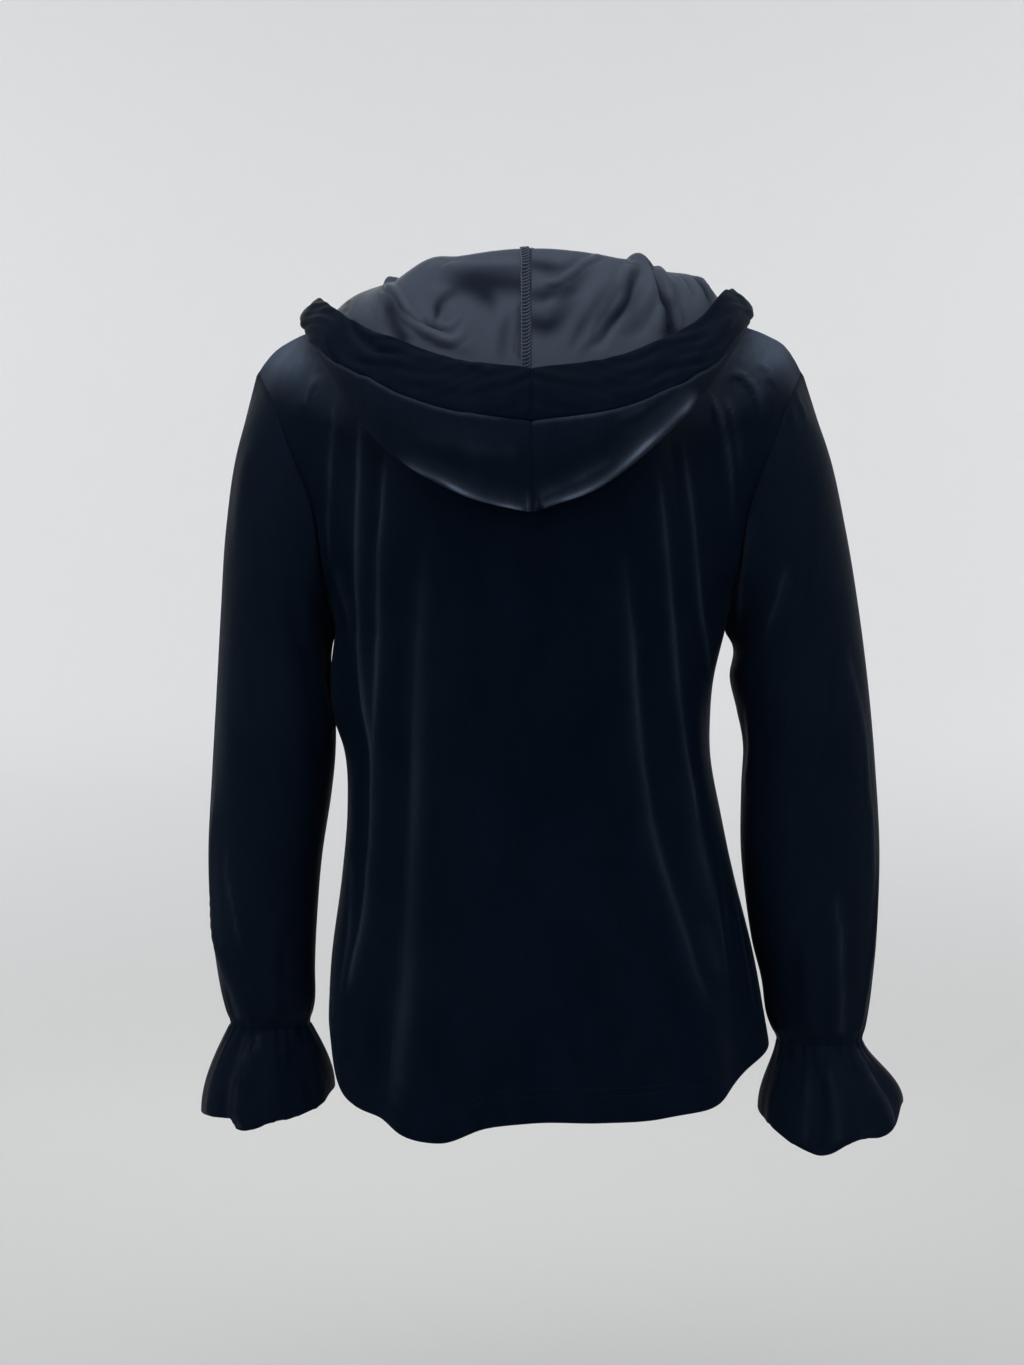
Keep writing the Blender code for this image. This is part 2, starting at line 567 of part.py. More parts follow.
def rest_on(points, clearance, side):
    """Moves points out until each is at least the clearance from the body panels below it."""
    under = [torso_surface(face, side) for face in ("back", "front")]
    flip = np.array([-1.0 if side == "right" else 1.0, 1.0, 1.0])
    base = np.concatenate([half.reshape(-1, 3) for half, _ in under]) * flip
    out = np.concatenate([normals.reshape(-1, 3) for _, normals in under]) * flip
    flat = points.reshape(-1, 3)
    away = np.linalg.norm(flat[:, None] - base[None], axis=2)
    nearest = np.argsort(away, axis=1)[:, :8]
    share = 1 / (np.take_along_axis(away, nearest, axis=1) + 1e-4) ** 2
    share = (share / share.sum(axis=1, keepdims=True))[..., None]
    out = unit((out[nearest] * share).sum(axis=1))
    height = np.sum((flat - (base[nearest] * share).sum(axis=1)) * out, axis=1)
    push = np.clip(np.broadcast_to(clearance, points.shape[:2]).reshape(-1) - height, 0, 0.01)
    return (flat + out * push[:, None]).reshape(points.shape)


def line_measures(grid):
    """For each point of each column, the cloth's length from the neck and the same with bends counted in."""
    steps = np.diff(grid, axis=0)
    span = np.linalg.norm(steps, axis=2)
    aim = steps / span[..., None]
    bend = np.zeros_like(span)
    bend[1:] = np.arccos(np.clip(np.sum(aim[1:] * aim[:-1], axis=2), -1, 1))
    zero = np.zeros((1, grid.shape[1]))
    length = np.concatenate([zero, np.cumsum(span, axis=0)])
    spread = np.concatenate([zero, np.cumsum(span + TURN_WEIGHT * bend, axis=0)])
    return length, spread


def resample(grid, measure, low, high, rows):
    """Rows evenly spread by a measure, between each column's own low and high values of it."""
    shares = np.linspace(0, 1, rows + 1)
    found = np.zeros((rows + 1, grid.shape[1], grid.shape[2]))
    for j in range(grid.shape[1]):
        at = low[j] + (high[j] - low[j]) * shares
        for k in range(grid.shape[2]):
            found[:, j, k] = np.interp(at, measure[:, j], grid[:, j, k])
    return found


def build_hood(side):
    """One half of the hood and its half of the band, joined to the other half by the centre seam."""
    whole = hood_surface(side)
    normals = -grid_normals(whole, closed=False)
    normals[0] = neck_direction(whole[0])
    normals[:, 0] = unit(normals[:, 0] * np.array([0.0, 1.0, 1.0]))
    both = np.concatenate([whole, normals], axis=2)
    length, spread = line_measures(whole)
    start = length[-1] - BAND_WIDTH
    seam = np.array([np.interp(start[j], length[:, j], spread[:, j]) for j in range(len(start))])
    panel = resample(both, spread, np.zeros(len(start)), seam, HOOD_ROWS)
    band = resample(both, spread, seam, spread[-1], BAND_ROWS)
    swell = np.sin(np.linspace(0, 1, BAND_ROWS + 1) * math.pi) ** 0.6
    crown = BAND_CROWN * swell[:, None, None]
    doubled = CLOTH + (BAND_THICKNESS - CLOTH) * swell
    out = np.array([-1.0 if side == "right" else 1.0, 1.0, 1.0])
    for name, made, thickness, lift in (("hood_", panel, CLOTH, 0.0), ("hood_band_", band, doubled, crown)):
        grid, directions = made[..., :3], unit(made[..., 3:])
        grid = grid + directions * lift
        grid[0] += unit(grid[1] - grid[0]) * SEAM
        grid[-1] -= unit(grid[-1] - grid[-2]) * SEAM
        grid[:, 0, 0] += SEAM
        cloth_wall(name + side, grid * out, directions * out, thickness)


def over_shoulder(grid):
    """1 for hood points over the middle of the shoulder, falling to 0 at the neck, back and front."""
    return bump((grid[..., 0] - 0.150) / 0.075) * bump(grid[..., 1] / 0.095)


def zip_line(count):
    """Points down the middle front on the outer face of the fronts, from the hem to the neck."""
    knots = np.concatenate([BODY_SECTIONS["height"], RISE["front_z"][1:]])
    depth = np.concatenate([BODY_SECTIONS["front"], RISE["front_y"][1:]])
    height = np.linspace(FRONT_HEM["height"][6] + 0.002, RISE["front_z"][-1] - ZIP_TOP_DROP, count)
    return np.stack([np.zeros_like(height), -smooth(knots, depth, height), height], axis=1)


def line_frame(line):
    """For each point of the zip line, the way down it and straight out from it."""
    down = unit(-np.gradient(line, axis=0))
    out = unit(np.stack([np.zeros(len(line)), down[:, 2], -down[:, 1]], axis=1))
    return down, out * -np.sign(out[:, 1:2])


def build_zip_tape(side):
    """One tape of the zip, behind the edge of its front."""
    line = zip_line(ZIP_ROWS + 1)
    _, out = line_frame(line)
    behind = line - out * (CLOTH + HEM_FOLD + 2 * CLEARANCE)
    sign = -1.0 if side == "right" else 1.0
    places = np.linspace(TAPE_MIDDLE_GAP, TAPE_MIDDLE_GAP + TAPE_WIDTH, 3)
    grid = behind[:, None, :] + places[None, :, None] * np.array([sign, 0.0, 0.0])
    normals = np.repeat(out[:, None, :], len(places), axis=1)
    cloth_wall("zip_tape_" + side, grid, normals, TAPE_THICKNESS, finish=TAPE)


def block(shape, corner_low, corner_high):
    """Adds a box between two corners to a bmesh."""
    low, high = np.array(corner_low), np.array(corner_high)
    made = bmesh.ops.create_cube(shape, size=1.0)
    for vertex in made["verts"]:
        vertex.co = (low + high) / 2 + np.array(vertex.co) * (high - low)


def local_blocks(name, boxes, finish):
    """Joins boxes into one solid with Boolean unions, each given by its low and high corner."""
    parts = []
    for number, (low, high) in enumerate(boxes):
        shape = bmesh.new()
        block(shape, low, high)
        mesh = bpy.data.meshes.new(f"{name}_{number}")
        shape.to_mesh(mesh)
        shape.free()
        parts.append(bpy.data.objects.new(mesh.name, mesh))
        bpy.context.scene.collection.objects.link(parts[-1])
    base = parts[0]
    for other in parts[1:]:
        join = base.modifiers.new("join", "BOOLEAN")
        join.operation = "UNION"
        join.object = other
        other.hide_render = True
        other.display_type = "WIRE"
    base.name = name
    dress(base, finish)
    return base


def build_slider_and_pull():
    """The slider that joins the two tapes at the neck, and its pull, which hangs on the bail."""
    line = zip_line(200)
    index = int(np.argmin(np.abs(line[:, 2] - (RISE["front_z"][-1] - SLIDER_DROP))))
    down, out = line_frame(line)
    down, out = down[index], out[index]
    tape_out = line[index] - out * (CLOTH + HEM_FOLD + 2 * CLEARANCE)
    half, plate = SLIDER["width"] / 2, SLIDER["plate"]
    front = CLEARANCE + plate
    behind = TAPE_THICKNESS + CLEARANCE
    long, neck = SLIDER["length"] / 2, SLIDER["neck_length"]
    bar_low = front + 2 * CLEARANCE + 2 * PULL["bar"]
    boxes = [
        ((-half, CLEARANCE, -long), (half, front, long)),
        ((-half, -behind - plate, -long), (half, -behind, long)),
        ((-SLIDER["neck_width"] / 2, -behind - plate / 2, long - neck), (SLIDER["neck_width"] / 2, front / 2, long)),
        ((-BAIL["width"] / 2, bar_low, -BAIL["down"]), (BAIL["width"] / 2, bar_low + BAIL["bar"], BAIL["up"])),
        ((-BAIL["width"] / 2, front / 2, BAIL["up"] - BAIL["bar"]),
         (BAIL["width"] / 2, bar_low + BAIL["bar"] / 2, BAIL["up"])),
        ((-BAIL["width"] / 2, front / 2, -BAIL["down"]),
         (BAIL["width"] / 2, bar_low + BAIL["bar"] / 2, BAIL["bar"] - BAIL["down"])),
    ]
    place = placed_at(tape_out, out, down)
    slider = local_blocks("zip_slider", boxes, METAL)
    axis_out = front + CLEARANCE + PULL["bar"]
    wide, thick = PULL["width"] / 2, PULL["thickness"] / 2
    window, window_end = PULL["window"] / 2, PULL["window_end"]
    boxes = [
        ((-wide, -thick, -PULL["length"]), (wide, thick, -window_end)),
        ((-wide, -thick, -window_end - thick), (-window, thick, PULL["bar"])),
        ((window, -thick, -window_end - thick), (wide, thick, PULL["bar"])),
        ((-wide, -PULL["bar"], -PULL["bar"]), (wide, PULL["bar"], PULL["bar"])),
    ]
    pull = local_blocks("zip_pull", boxes, METAL)
    for obj, matrix in ((slider, place), (pull, placed_at(tape_out + out * axis_out, out, down))):
        obj.matrix_world = matrix
        for joined in (m.object for m in obj.modifiers if m.type == "BOOLEAN"):
            joined.matrix_world = matrix


def placed_at(origin, out, down):
    """A frame at origin whose Y is out of the cloth and whose Z is up along the zip."""
    x = np.cross(out, -down)
    rows = [[x[k], out[k], -down[k], origin[k]] for k in range(3)]
    return Matrix([*rows, [0, 0, 0, 1]])


def main():
    for obj in list(bpy.data.objects):
        bpy.data.objects.remove(obj)
    build_back()
    for side in ("left", "right"):
        build_front(side)
        build_hood(side)
        build_zip_tape(side)
    build_sleeve("left", LEFT_SLEEVE)
    build_sleeve("right", RIGHT_SLEEVE)
    build_ruffle("left", LEFT_SLEEVE, LEFT_RUFFLE)
    build_ruffle("right", RIGHT_SLEEVE, RIGHT_RUFFLE)
    build_slider_and_pull()


main()
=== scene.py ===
"""A hooded jacket in near-black stretch velvet, shown from behind with its hood down.

Metres, +Z up. The front of the jacket faces -Y, the wearer's left is at +X, and the origin is the
middle of the neck opening at the height of the nape seam. Every cloth piece is a thin closed wall
made from a grid of points on its outer face. Creases are placed on each piece's own chart.
"""

from __future__ import annotations

import logging
import math
from dataclasses import dataclass
from enum import Enum
from typing import List, Mapping, Optional, Sequence, Tuple, Union

import bpy
import numpy as np
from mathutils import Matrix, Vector
from mathutils.bvhtree import BVHTree
from mathutils.kdtree import KDTree


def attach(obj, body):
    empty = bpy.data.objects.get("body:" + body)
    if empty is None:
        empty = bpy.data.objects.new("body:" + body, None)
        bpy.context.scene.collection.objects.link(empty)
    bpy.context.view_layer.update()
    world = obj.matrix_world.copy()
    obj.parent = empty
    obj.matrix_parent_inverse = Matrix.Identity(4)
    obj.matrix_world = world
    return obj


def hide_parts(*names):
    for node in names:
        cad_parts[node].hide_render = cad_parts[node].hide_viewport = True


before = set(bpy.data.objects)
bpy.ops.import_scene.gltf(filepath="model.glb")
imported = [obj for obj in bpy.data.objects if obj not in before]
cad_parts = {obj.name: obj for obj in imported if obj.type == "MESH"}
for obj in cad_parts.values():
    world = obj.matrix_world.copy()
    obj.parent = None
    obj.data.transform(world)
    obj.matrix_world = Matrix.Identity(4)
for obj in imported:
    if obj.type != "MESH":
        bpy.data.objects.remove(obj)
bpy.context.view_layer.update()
LOG = logging.getLogger("hooded_jacket")

Row = Tuple[float, ...]
Colour = Tuple[float, float, float]
Array = np.ndarray


class Side(Enum):
    """Which side of the wearer a piece is on."""

    LEFT = "left"
    RIGHT = "right"

    @property
    def sign(self) -> float:
        """The way out from the middle: 1 towards +X, -1 towards -X."""
        return 1.0 if self is Side.LEFT else -1.0


class Face(Enum):
    """Which half of the body a panel covers."""

    BACK = "back"
    FRONT = "front"

    @property
    def sign(self) -> float:
        """The way out: 1 towards +Y, -1 towards -Y."""
        return 1.0 if self is Face.BACK else -1.0


class Fold(Enum):
    """The section of a crease."""

    ROLL = "roll"  # a soft ridge with a shallow trough at each side
    PRESS = "press"  # a narrow ridge that falls away from a sharp top
    TUCK = "tuck"  # one side lies over the other


# ---------------------------------------------------------------------------------------- curves


def smooth(knots: Sequence[float], values: Sequence, at: Union[float, Array]) -> Array:
    """Reads the cubic curve through a table.

    Args:
        knots: Rising places of the table.
        values: The table's value at each place.
        at: Where to read it.

    Returns:
        One value for each place of at.
    """
    where, table, spots = np.asarray(knots, float), np.asarray(values, float), np.atleast_1d(at)
    slopes = np.gradient(table, where, axis=0)
    k = np.clip(np.searchsorted(where, spots) - 1, 0, len(where) - 2)
    step = (where[k + 1] - where[k]).reshape((-1,) + (1,) * (table.ndim - 1))
    t = (spots - where[k]).reshape(step.shape) / step
    return (
        (2 * t**3 - 3 * t**2 + 1) * table[k]
        + (t**3 - 2 * t**2 + t) * step * slopes[k]
        + (3 * t**2 - 2 * t**3) * table[k + 1]
        + (t**3 - t**2) * step * slopes[k + 1]
    )


def unit(vectors: Array) -> Array:
    """Each vector, one long."""
    return vectors / np.maximum(np.linalg.norm(vectors, axis=-1, keepdims=True), 1e-12)


def bump(distance: Array) -> Array:
    """1 at 0, falling smoothly to almost 0 at 2."""
    return np.exp(-(distance**2))


def ramp(value: Array, low: float = 0.0, high: float = 1.0) -> Array:
    """0 below low and 1 above high, with soft ends."""
    t = np.clip((np.asarray(value, float) - low) / (high - low), 0, 1)
    return t * t * (3 - 2 * t)


def lengths(grid: Array) -> Array:
    """For each point of each column, how far it is along the cloth from the first row."""
    steps = np.linalg.norm(np.diff(grid, axis=0), axis=2)
    return np.concatenate([np.zeros((1, grid.shape[1])), np.cumsum(steps, axis=0)])


def finely(path: Sequence[Row]) -> Array:
    """The smooth curve through a path, with 12 points for each of the path's own."""
    knots = np.asarray(path, float)
    return smooth(np.arange(len(knots)), knots, np.linspace(0, len(knots) - 1, 12 * len(knots)))


def even_out(line: Array, times: int) -> Array:
    """Smooths a line in place with its two ends held still, and gives it back."""
    for _ in range(times):
        line[1:-1] = (line[:-2] + 2 * line[1:-1] + line[2:]) / 4
    return line


def placed(name: str, data: bpy.types.ID) -> bpy.types.Object:
    """Puts an object in the scene.

    Args:
        name: Its name.
        data: Its mesh, light or camera.

    Returns:
        The object.
    """
    made = bpy.data.objects.new(name, data)
    bpy.context.scene.collection.objects.link(made)
    return made


def resample(grid: Array, measure: Array, low: Array, high: Array, shares: Array) -> Array:
    """Rows at given shares of a measure, between each column's own low and high values of it.

    Args:
        grid: Rows by columns by any number of values.
        measure: A rising value at each point of each column.
        low: Each column's value of the measure at share 0.
        high: The same at share 1.
        shares: Where the rows go.

    Returns:
        The new grid, one row for each share.
    """
    found = np.zeros((len(shares), grid.shape[1], grid.shape[2]))
    for j in range(grid.shape[1]):
        at = low[j] + (high[j] - low[j]) * shares
        for k in range(grid.shape[2]):
            found[:, j, k] = np.interp(at, measure[:, j], grid[:, j, k])
    return found


# ------------------------------------------------------------------------------------------ cloth


@dataclass
class Cloth:
    """A grid of points on the outer face of one piece, with the chart that its creases use."""

    points: Array
    chart: Array
    ease: Tuple[float, float] = (1.0, 1.0)  # millimetres in one unit of the chart, each way
    closed: bool = False
    facing: float = 1.0
    nap: Optional[Array] = None  # painted light at each point, 0 to 1: painted sheen on the velvet face, painted shade on the reverse

    def __post_init__(self) -> None:
        """Starts with no painted light."""
        if self.nap is None:
            self.nap = np.zeros(self.points.shape[:2])

    def normals(self) -> Array:
        """The outward direction at each point.

        Returns:
            Rows by columns by 3, each one long.
        """
        along = np.gradient(self.points, axis=0)
        if self.closed:
            across = np.roll(self.points, -1, axis=1) - np.roll(self.points, 1, axis=1)
        else:
            across = np.gradient(self.points, axis=1)
        return unit(np.cross(across, along)) * self.facing

    def face_from(self, middle: Array) -> None:
        """Turns the outward direction away from a middle point or line."""
        self.facing = 1.0
        if np.mean(np.sum(self.normals() * (self.points - middle), axis=-1)) < 0:
            self.facing = -1.0

    def spots(self, line: Array) -> Array:
        """The grid point nearest to each place of a line.

        Args:
            line: Places on the chart.

        Returns:
            The points' numbers, counted row by row.
        """
        ease = np.array(self.ease)
        chart = self.chart.reshape(-1, 2) * ease
        return np.array([int(np.argmin(np.sum((chart - place) ** 2, axis=1))) for place in line * ease])

    def fold(self, creases: Sequence["Crease"], keep: Union[float, Array] = 1.0) -> None:
        """Moves the cloth out or in along creases, and paints light and shade along them.

        Args:
            creases: The creases, all measured on the cloth as it is before the first.
            keep: How much of them each point takes, 0 at a seam that holds still.
        """
        normals = self.normals()
        lift = np.zeros(self.points.shape[:2])
        for crease in creases:
            height, painted_light = crease.marks(self, normals)
            lift += height
            self.nap = np.maximum(self.nap, painted_light)
        self.points = self.points + normals * (lift * keep)[..., None]

    def paint_light_on_tops(self, amount: float, low: float = 0.15, high: float = 0.62) -> None:
        """Paints a highlight where the cloth faces up, as light from above would give, only high on the body.

        Args:
            amount: How strong the painted highlight is where the cloth faces straight up.
            low: The upward part of the outward direction where this starts.
            high: The same where it is full.
        """
        facing_up = ramp(self.normals()[..., 2], low, high) * ramp(self.points[..., 2], -0.30, -0.20)
        self.nap = np.maximum(self.nap, amount * facing_up)

    def sink_seams(self, distance: Array, depth: float = 0.0010, width: float = 0.0042) -> None:
        """Lets the cloth dip towards a seam.

        Args:
            distance: How far each point is from the seam, in metres.
            depth: How deep the seam lies.
            width: How far from the seam the dip starts.
        """
        dip = np.clip(1 - distance / width, 0, 1) ** 2 * depth
        self.points = self.points - self.normals() * dip[..., None]

    def across_distance(self, from_last: bool) -> Array:
        """How far each point is from the first or the last column, along its row."""
        gone = lengths(np.swapaxes(self.points, 0, 1)).T
        return gone[:, -1:] - gone if from_last else gone

    def from_last_row(self) -> Array:
        """How far each point is from the last row, along its column."""
        return lengths(self.points[::-1])[::-1]


@dataclass(frozen=True)
class Crease:
    """One fold of the cloth along a line on its chart. Widths and heights are in millimetres."""

    path: Tuple[Tuple[float, float], ...]
    width: float
    height: float
    fold: Fold = Fold.ROLL
    start: float = 0.25  # share of its length over which it rises
    end: float = 0.30  # and over which it dies away
    lean: float = 0.0
    painted_light: float = 0.0  # painted light along its top: a painted highlight on the velvet, painted shade on the reverse

    def marks(self, cloth: Cloth, normals: Array) -> Tuple[Array, Array]:
        """How this crease changes each point of a piece.

        Args:
            cloth: The piece.
            normals: Its outward directions.

        Returns:
            The lift in metres and the painted light, rows by columns.
        """
        knots = np.asarray(self.path, float)
        fine = finely(knots)
        flat, chart, out = cloth.points.reshape(-1, 3), cloth.chart.reshape(-1, 2), normals.reshape(-1, 3)
        line = even_out(flat[cloth.spots(fine)], 8)
        width = self.width / 1000
        reach = 3.4 * width
        near = np.flatnonzero(np.all((flat > line.min(axis=0) - reach) & (flat < line.max(axis=0) + reach), axis=1))
        away = flat[near][:, None] - line[None]
        nearest = np.argmin(np.sum(away**2, axis=2), axis=1)
        gap = away[np.arange(len(near)), nearest]
        tangent = unit(np.gradient(line, axis=0))[nearest]
        past = np.sum(gap * tangent, axis=1)
        side = np.sign(np.sum(gap * np.cross(tangent, out[near]), axis=1))
        span = np.linalg.norm(gap - past[:, None] * tangent, axis=1) / width
        span = span * (1 + self.lean * side)
        if self.fold is Fold.ROLL:
            shape = bump(span) - 0.28 * bump((span - 2.0) / 0.8)
        elif self.fold is Fold.PRESS:
            shape = np.exp(-1.5 * (np.sqrt(span**2 + 0.04) - 0.2))
        else:
            over = 1 / (1 + np.exp(-7 * span * side))
            shape = over * bump(span / 1.7) - 0.35 * (1 - over) * bump(span / 0.9)
        share = nearest / (len(line) - 1)
        grow = ramp(share, 0, max(self.start, 1e-6)) * ramp(1 - share, 0, max(self.end, 1e-6))
        grow = grow * bump(np.maximum(np.abs(past) - 0.002, 0) / (0.8 * width))
        uneven = 1 + 0.15 * np.sin(2 * math.pi * (1.6 * share + 0.013 * (knots[0, 0] + knots[0, 1])))
        apart = np.linalg.norm((chart[near] - fine[nearest]) * np.array(cloth.ease), axis=1)
        grow = grow * ramp(-apart, -(4.5 * self.width + 26), -(3.5 * self.width + 16))
        lift, painted_light = np.zeros(len(flat)), np.zeros(len(flat))
        lift[near] = self.height / 1000 * shape * grow * uneven
        patchy = 0.84 + 0.16 * np.sin(2 * math.pi * (2.7 * share + 0.021 * (knots[0, 0] + knots[-1, 1])))
        # painted light along the top of the crease, strongest in its middle
        painted_light[near] = self.painted_light * (0.74 * bump(span / 0.5) + 0.26 * bump(span / 1.5)) * grow * patchy
        return lift.reshape(cloth.points.shape[:2]), painted_light.reshape(cloth.points.shape[:2])


@dataclass(frozen=True)
class PaintedShadeLine:
    """Painted shade on the reverse: a soft dark stroke along a line on the chart, where a hollow would lie in shade."""

    path: Tuple[Tuple[float, float, float, float], ...]  # degrees, mm from the seam, half width in mm, how dark the painted shade is

    def shade(self, cloth: Cloth) -> Array:
        """How dark this painted shade makes a piece.

        Args:
            cloth: The piece.

        Returns:
            0 to 1 for each point, rows by columns.
        """
        fine = finely(self.path)
        away = (cloth.chart.reshape(-1, 1, 2) - fine[None, :, :2]) * np.array(cloth.ease)
        dark = fine[:, 3] * np.exp(-((np.linalg.norm(away, axis=2) / fine[:, 2]) ** 2.4))
        return np.clip(dark.max(axis=1), 0, 1).reshape(cloth.points.shape[:2])


def mesh_object(name: str, points: Array, faces: Array, uvs: Array) -> bpy.types.Object:
    """Makes an object from quads.

    Args:
        name: Its name.
        points: All its points.
        faces: Four point numbers for each face.
        uvs: Two numbers for each corner of each face, in metres of cloth.

    Returns:
        The object, in the scene, smooth shaded.
    """
    mesh = bpy.data.meshes.new(name)
    mesh.from_pydata(points.tolist(), [], faces.tolist())
    layer = mesh.uv_layers.new(name="cloth")
    layer.data.foreach_set("uv", uvs.reshape(-1).astype(np.float32))
    mesh.shade_smooth()
    mesh.set_sharp_from_angle(angle=math.radians(70))
    return placed(name, mesh)


@dataclass
class Wall:
    """A closed wall of cloth: an outer face, an inner face and rounded edges between them."""

    name: str
    cloth: Cloth
    thickness: Union[float, Array]
    rim_steps: int = 3

    def build(self, outer_finish: bpy.types.Material, inner_finish: bpy.types.Material) -> bpy.types.Object:
        """Makes the wall.

        Args:
            outer_finish: The material of the outer face and the edges.
            inner_finish: The material of the inner face.

        Returns:
            The object, with a UV map in metres of cloth.
        """
        outer = self.cloth.points
        rows, columns = outer.shape[:2]
        depth = np.broadcast_to(np.asarray(self.thickness, float), (rows, columns))[..., None]
        inner = outer - self.cloth.normals() * depth
        top = self._rim(outer[-1], inner[-1], outer[-1] - outer[-2])
        low = self._rim(outer[0], inner[0], outer[0] - outer[1])[::-1]
        loop = np.concatenate([outer, top, inner[::-1], low])
        steps = len(top)
        across = lengths(np.swapaxes(outer, 0, 1)).T
        if self.cloth.closed:
            last = np.linalg.norm(outer[:, :1] - outer[:, -1:], axis=2)
            across = np.concatenate([across, across[:, -1:] + last], axis=1)
        along = lengths(outer)
        along = np.concatenate([along, along[:, :1]], axis=1) if self.cloth.closed else along
        sheet = np.stack([across, along], axis=2)
        map_loop = np.concatenate([sheet, np.repeat(sheet[-1:], steps, 0), sheet[::-1], np.repeat(sheet[:1], steps, 0)])
        count = len(loop)
        i = np.arange(count)[:, None]
        j = np.arange(columns if self.cloth.closed else columns - 1)[None, :]
        up, right = (i + 1) % count, (j + 1) % columns
        corner_rows = (i + 0 * j, i + 0 * j, up + 0 * j, up + 0 * j)
        corner_columns = (j + 0 * i, right + 0 * i, right + 0 * i, j + 0 * i)
        faces = np.stack([r * columns + c for r, c in zip(corner_rows, corner_columns)], axis=-1).reshape(-1, 4)
        map_columns = (j + 0 * i, j + 1 + 0 * i, j + 1 + 0 * i, j + 0 * i)
        uvs = np.stack([map_loop[r, c] for r, c in zip(corner_rows, map_columns)], axis=-2).reshape(-1, 4, 2)
        inside = ((i >= rows + steps - 1) & (i < 2 * rows + steps) & (j >= 0)).reshape(-1)
        if not self.cloth.closed:
            caps, cap_uvs = self._caps(count, rows, columns, steps, map_loop)
            faces, uvs = np.concatenate([faces, caps]), np.concatenate([uvs, cap_uvs])
            inside = np.concatenate([inside, np.zeros(len(caps), bool)])
        if self.cloth.facing < 0:
            faces, uvs = faces[:, ::-1], uvs[:, ::-1]
        made = mesh_object(self.name, loop.reshape(-1, 3), faces, uvs)
        made.data.materials.append(outer_finish)
        made.data.materials.append(inner_finish)
        made.data.polygons.foreach_set("material_index", inside.astype(np.int32))
        # the painted light of each point goes on both faces: painted sheen on the velvet, painted shade on the reverse
        nap = self.cloth.nap
        nap = np.concatenate([nap, np.repeat(nap[-1:], steps, 0), nap[::-1], np.repeat(nap[:1], steps, 0)])
        layer = made.data.attributes.new("nap", "FLOAT", "POINT")
        layer.data.foreach_set("value", nap.reshape(-1).astype(np.float32))
        made.data.validate()
        return made

    def _rim(self, outer: Array, inner: Array, way: Array) -> Array:
        """Rows of points that round an edge.

        Args:
            outer: The outer face's last row.
            inner: The inner face's last row.
            way: The direction past the edge at each point.

        Returns:
            The rows between them, from the outer face to the inner one.
        """
        middle, half = (outer + inner) / 2, (outer - inner) / 2
        on = unit(way) * np.linalg.norm(half, axis=1, keepdims=True)
        turns = np.linspace(0, math.pi, self.rim_steps + 2)[1:-1]
        return np.array([middle + half * math.cos(t) + on * math.sin(t) for t in turns])

    def _caps(self, count: int, rows: int, columns: int, steps: int, sheet: Array) -> Tuple[Array, Array]:
        """Quads that shut the two side edges of an open wall.

        Args:
            count: All the rows round the wall.
            rows: The rows of one face.
            columns: The columns of one face.
            steps: The rows of one rounded edge.
            sheet: The cloth map of every row.

        Returns:
            The quads and their cloth map.
        """
        faces, uvs = [], []
        half = steps // 2
        for column, turn in ((0, 1), (columns - 1, -1)):
            # pairs of loop rows that face each other across the thickness
            pairs = [(rows - 1 - k, rows + steps + k) for k in range(rows)]
            over = [(rows + k, rows + steps - 1 - k) for k in range(half)]
            under = [(count - 1 - k, count - steps + k) for k in range(half)]
            chain = over[::-1] + pairs + under
            for (a, b), (c, d) in zip(chain[:-1], chain[1:]):
                quad = [a, b, d, c][::turn]
                faces.append([r * columns + column for r in quad])
                uvs.append([sheet[r, column] for r in quad])
            middle = rows + half
            a, b = chain[0]
            if steps % 2:
                faces.append([r * columns + column for r in [middle, b, a, a][::turn]])
                uvs.append([sheet[r, column] for r in [middle, b, a, a][::turn]])
                middle, (a, b) = count - 1 - half, chain[-1]
                faces.append([r * columns + column for r in [a, b, middle, middle][::turn]])
                uvs.append([sheet[r, column] for r in [a, b, middle, middle][::turn]])
        return np.array(faces), np.array(uvs)


# --------------------------------------------------------------------------------------- finishes


class Socket:
    """A shader value that can be used in an expression."""

    def __init__(self, shading: "Shading", socket: bpy.types.NodeSocket) -> None:
        """Keeps the socket.

        Args:
            shading: The shading it belongs to.
            socket: The output itself.
        """
        self.shading = shading
        self.socket = socket

    def _math(self, operation: str, first: "Value", second: "Value") -> "Socket":
        """One Math node on two values."""
        return self.shading.node("ShaderNodeMath", {"operation": operation}, {0: first, 1: second})

    def __add__(self, other: "Value") -> "Socket":
        """self + other."""
        return self._math("ADD", self, other)

    def __radd__(self, other: "Value") -> "Socket":
        """other + self."""
        return self._math("ADD", other, self)

    def __sub__(self, other: "Value") -> "Socket":
        """self - other."""
        return self._math("SUBTRACT", self, other)

    def __rsub__(self, other: "Value") -> "Socket":
        """other - self."""
        return self._math("SUBTRACT", other, self)

    def __mul__(self, other: "Value") -> "Socket":
        """self * other."""
        return self._math("MULTIPLY", self, other)

    def __rmul__(self, other: "Value") -> "Socket":
        """other * self."""
        return self._math("MULTIPLY", other, self)


Value = Union[Socket, float, Tuple[float, ...]]


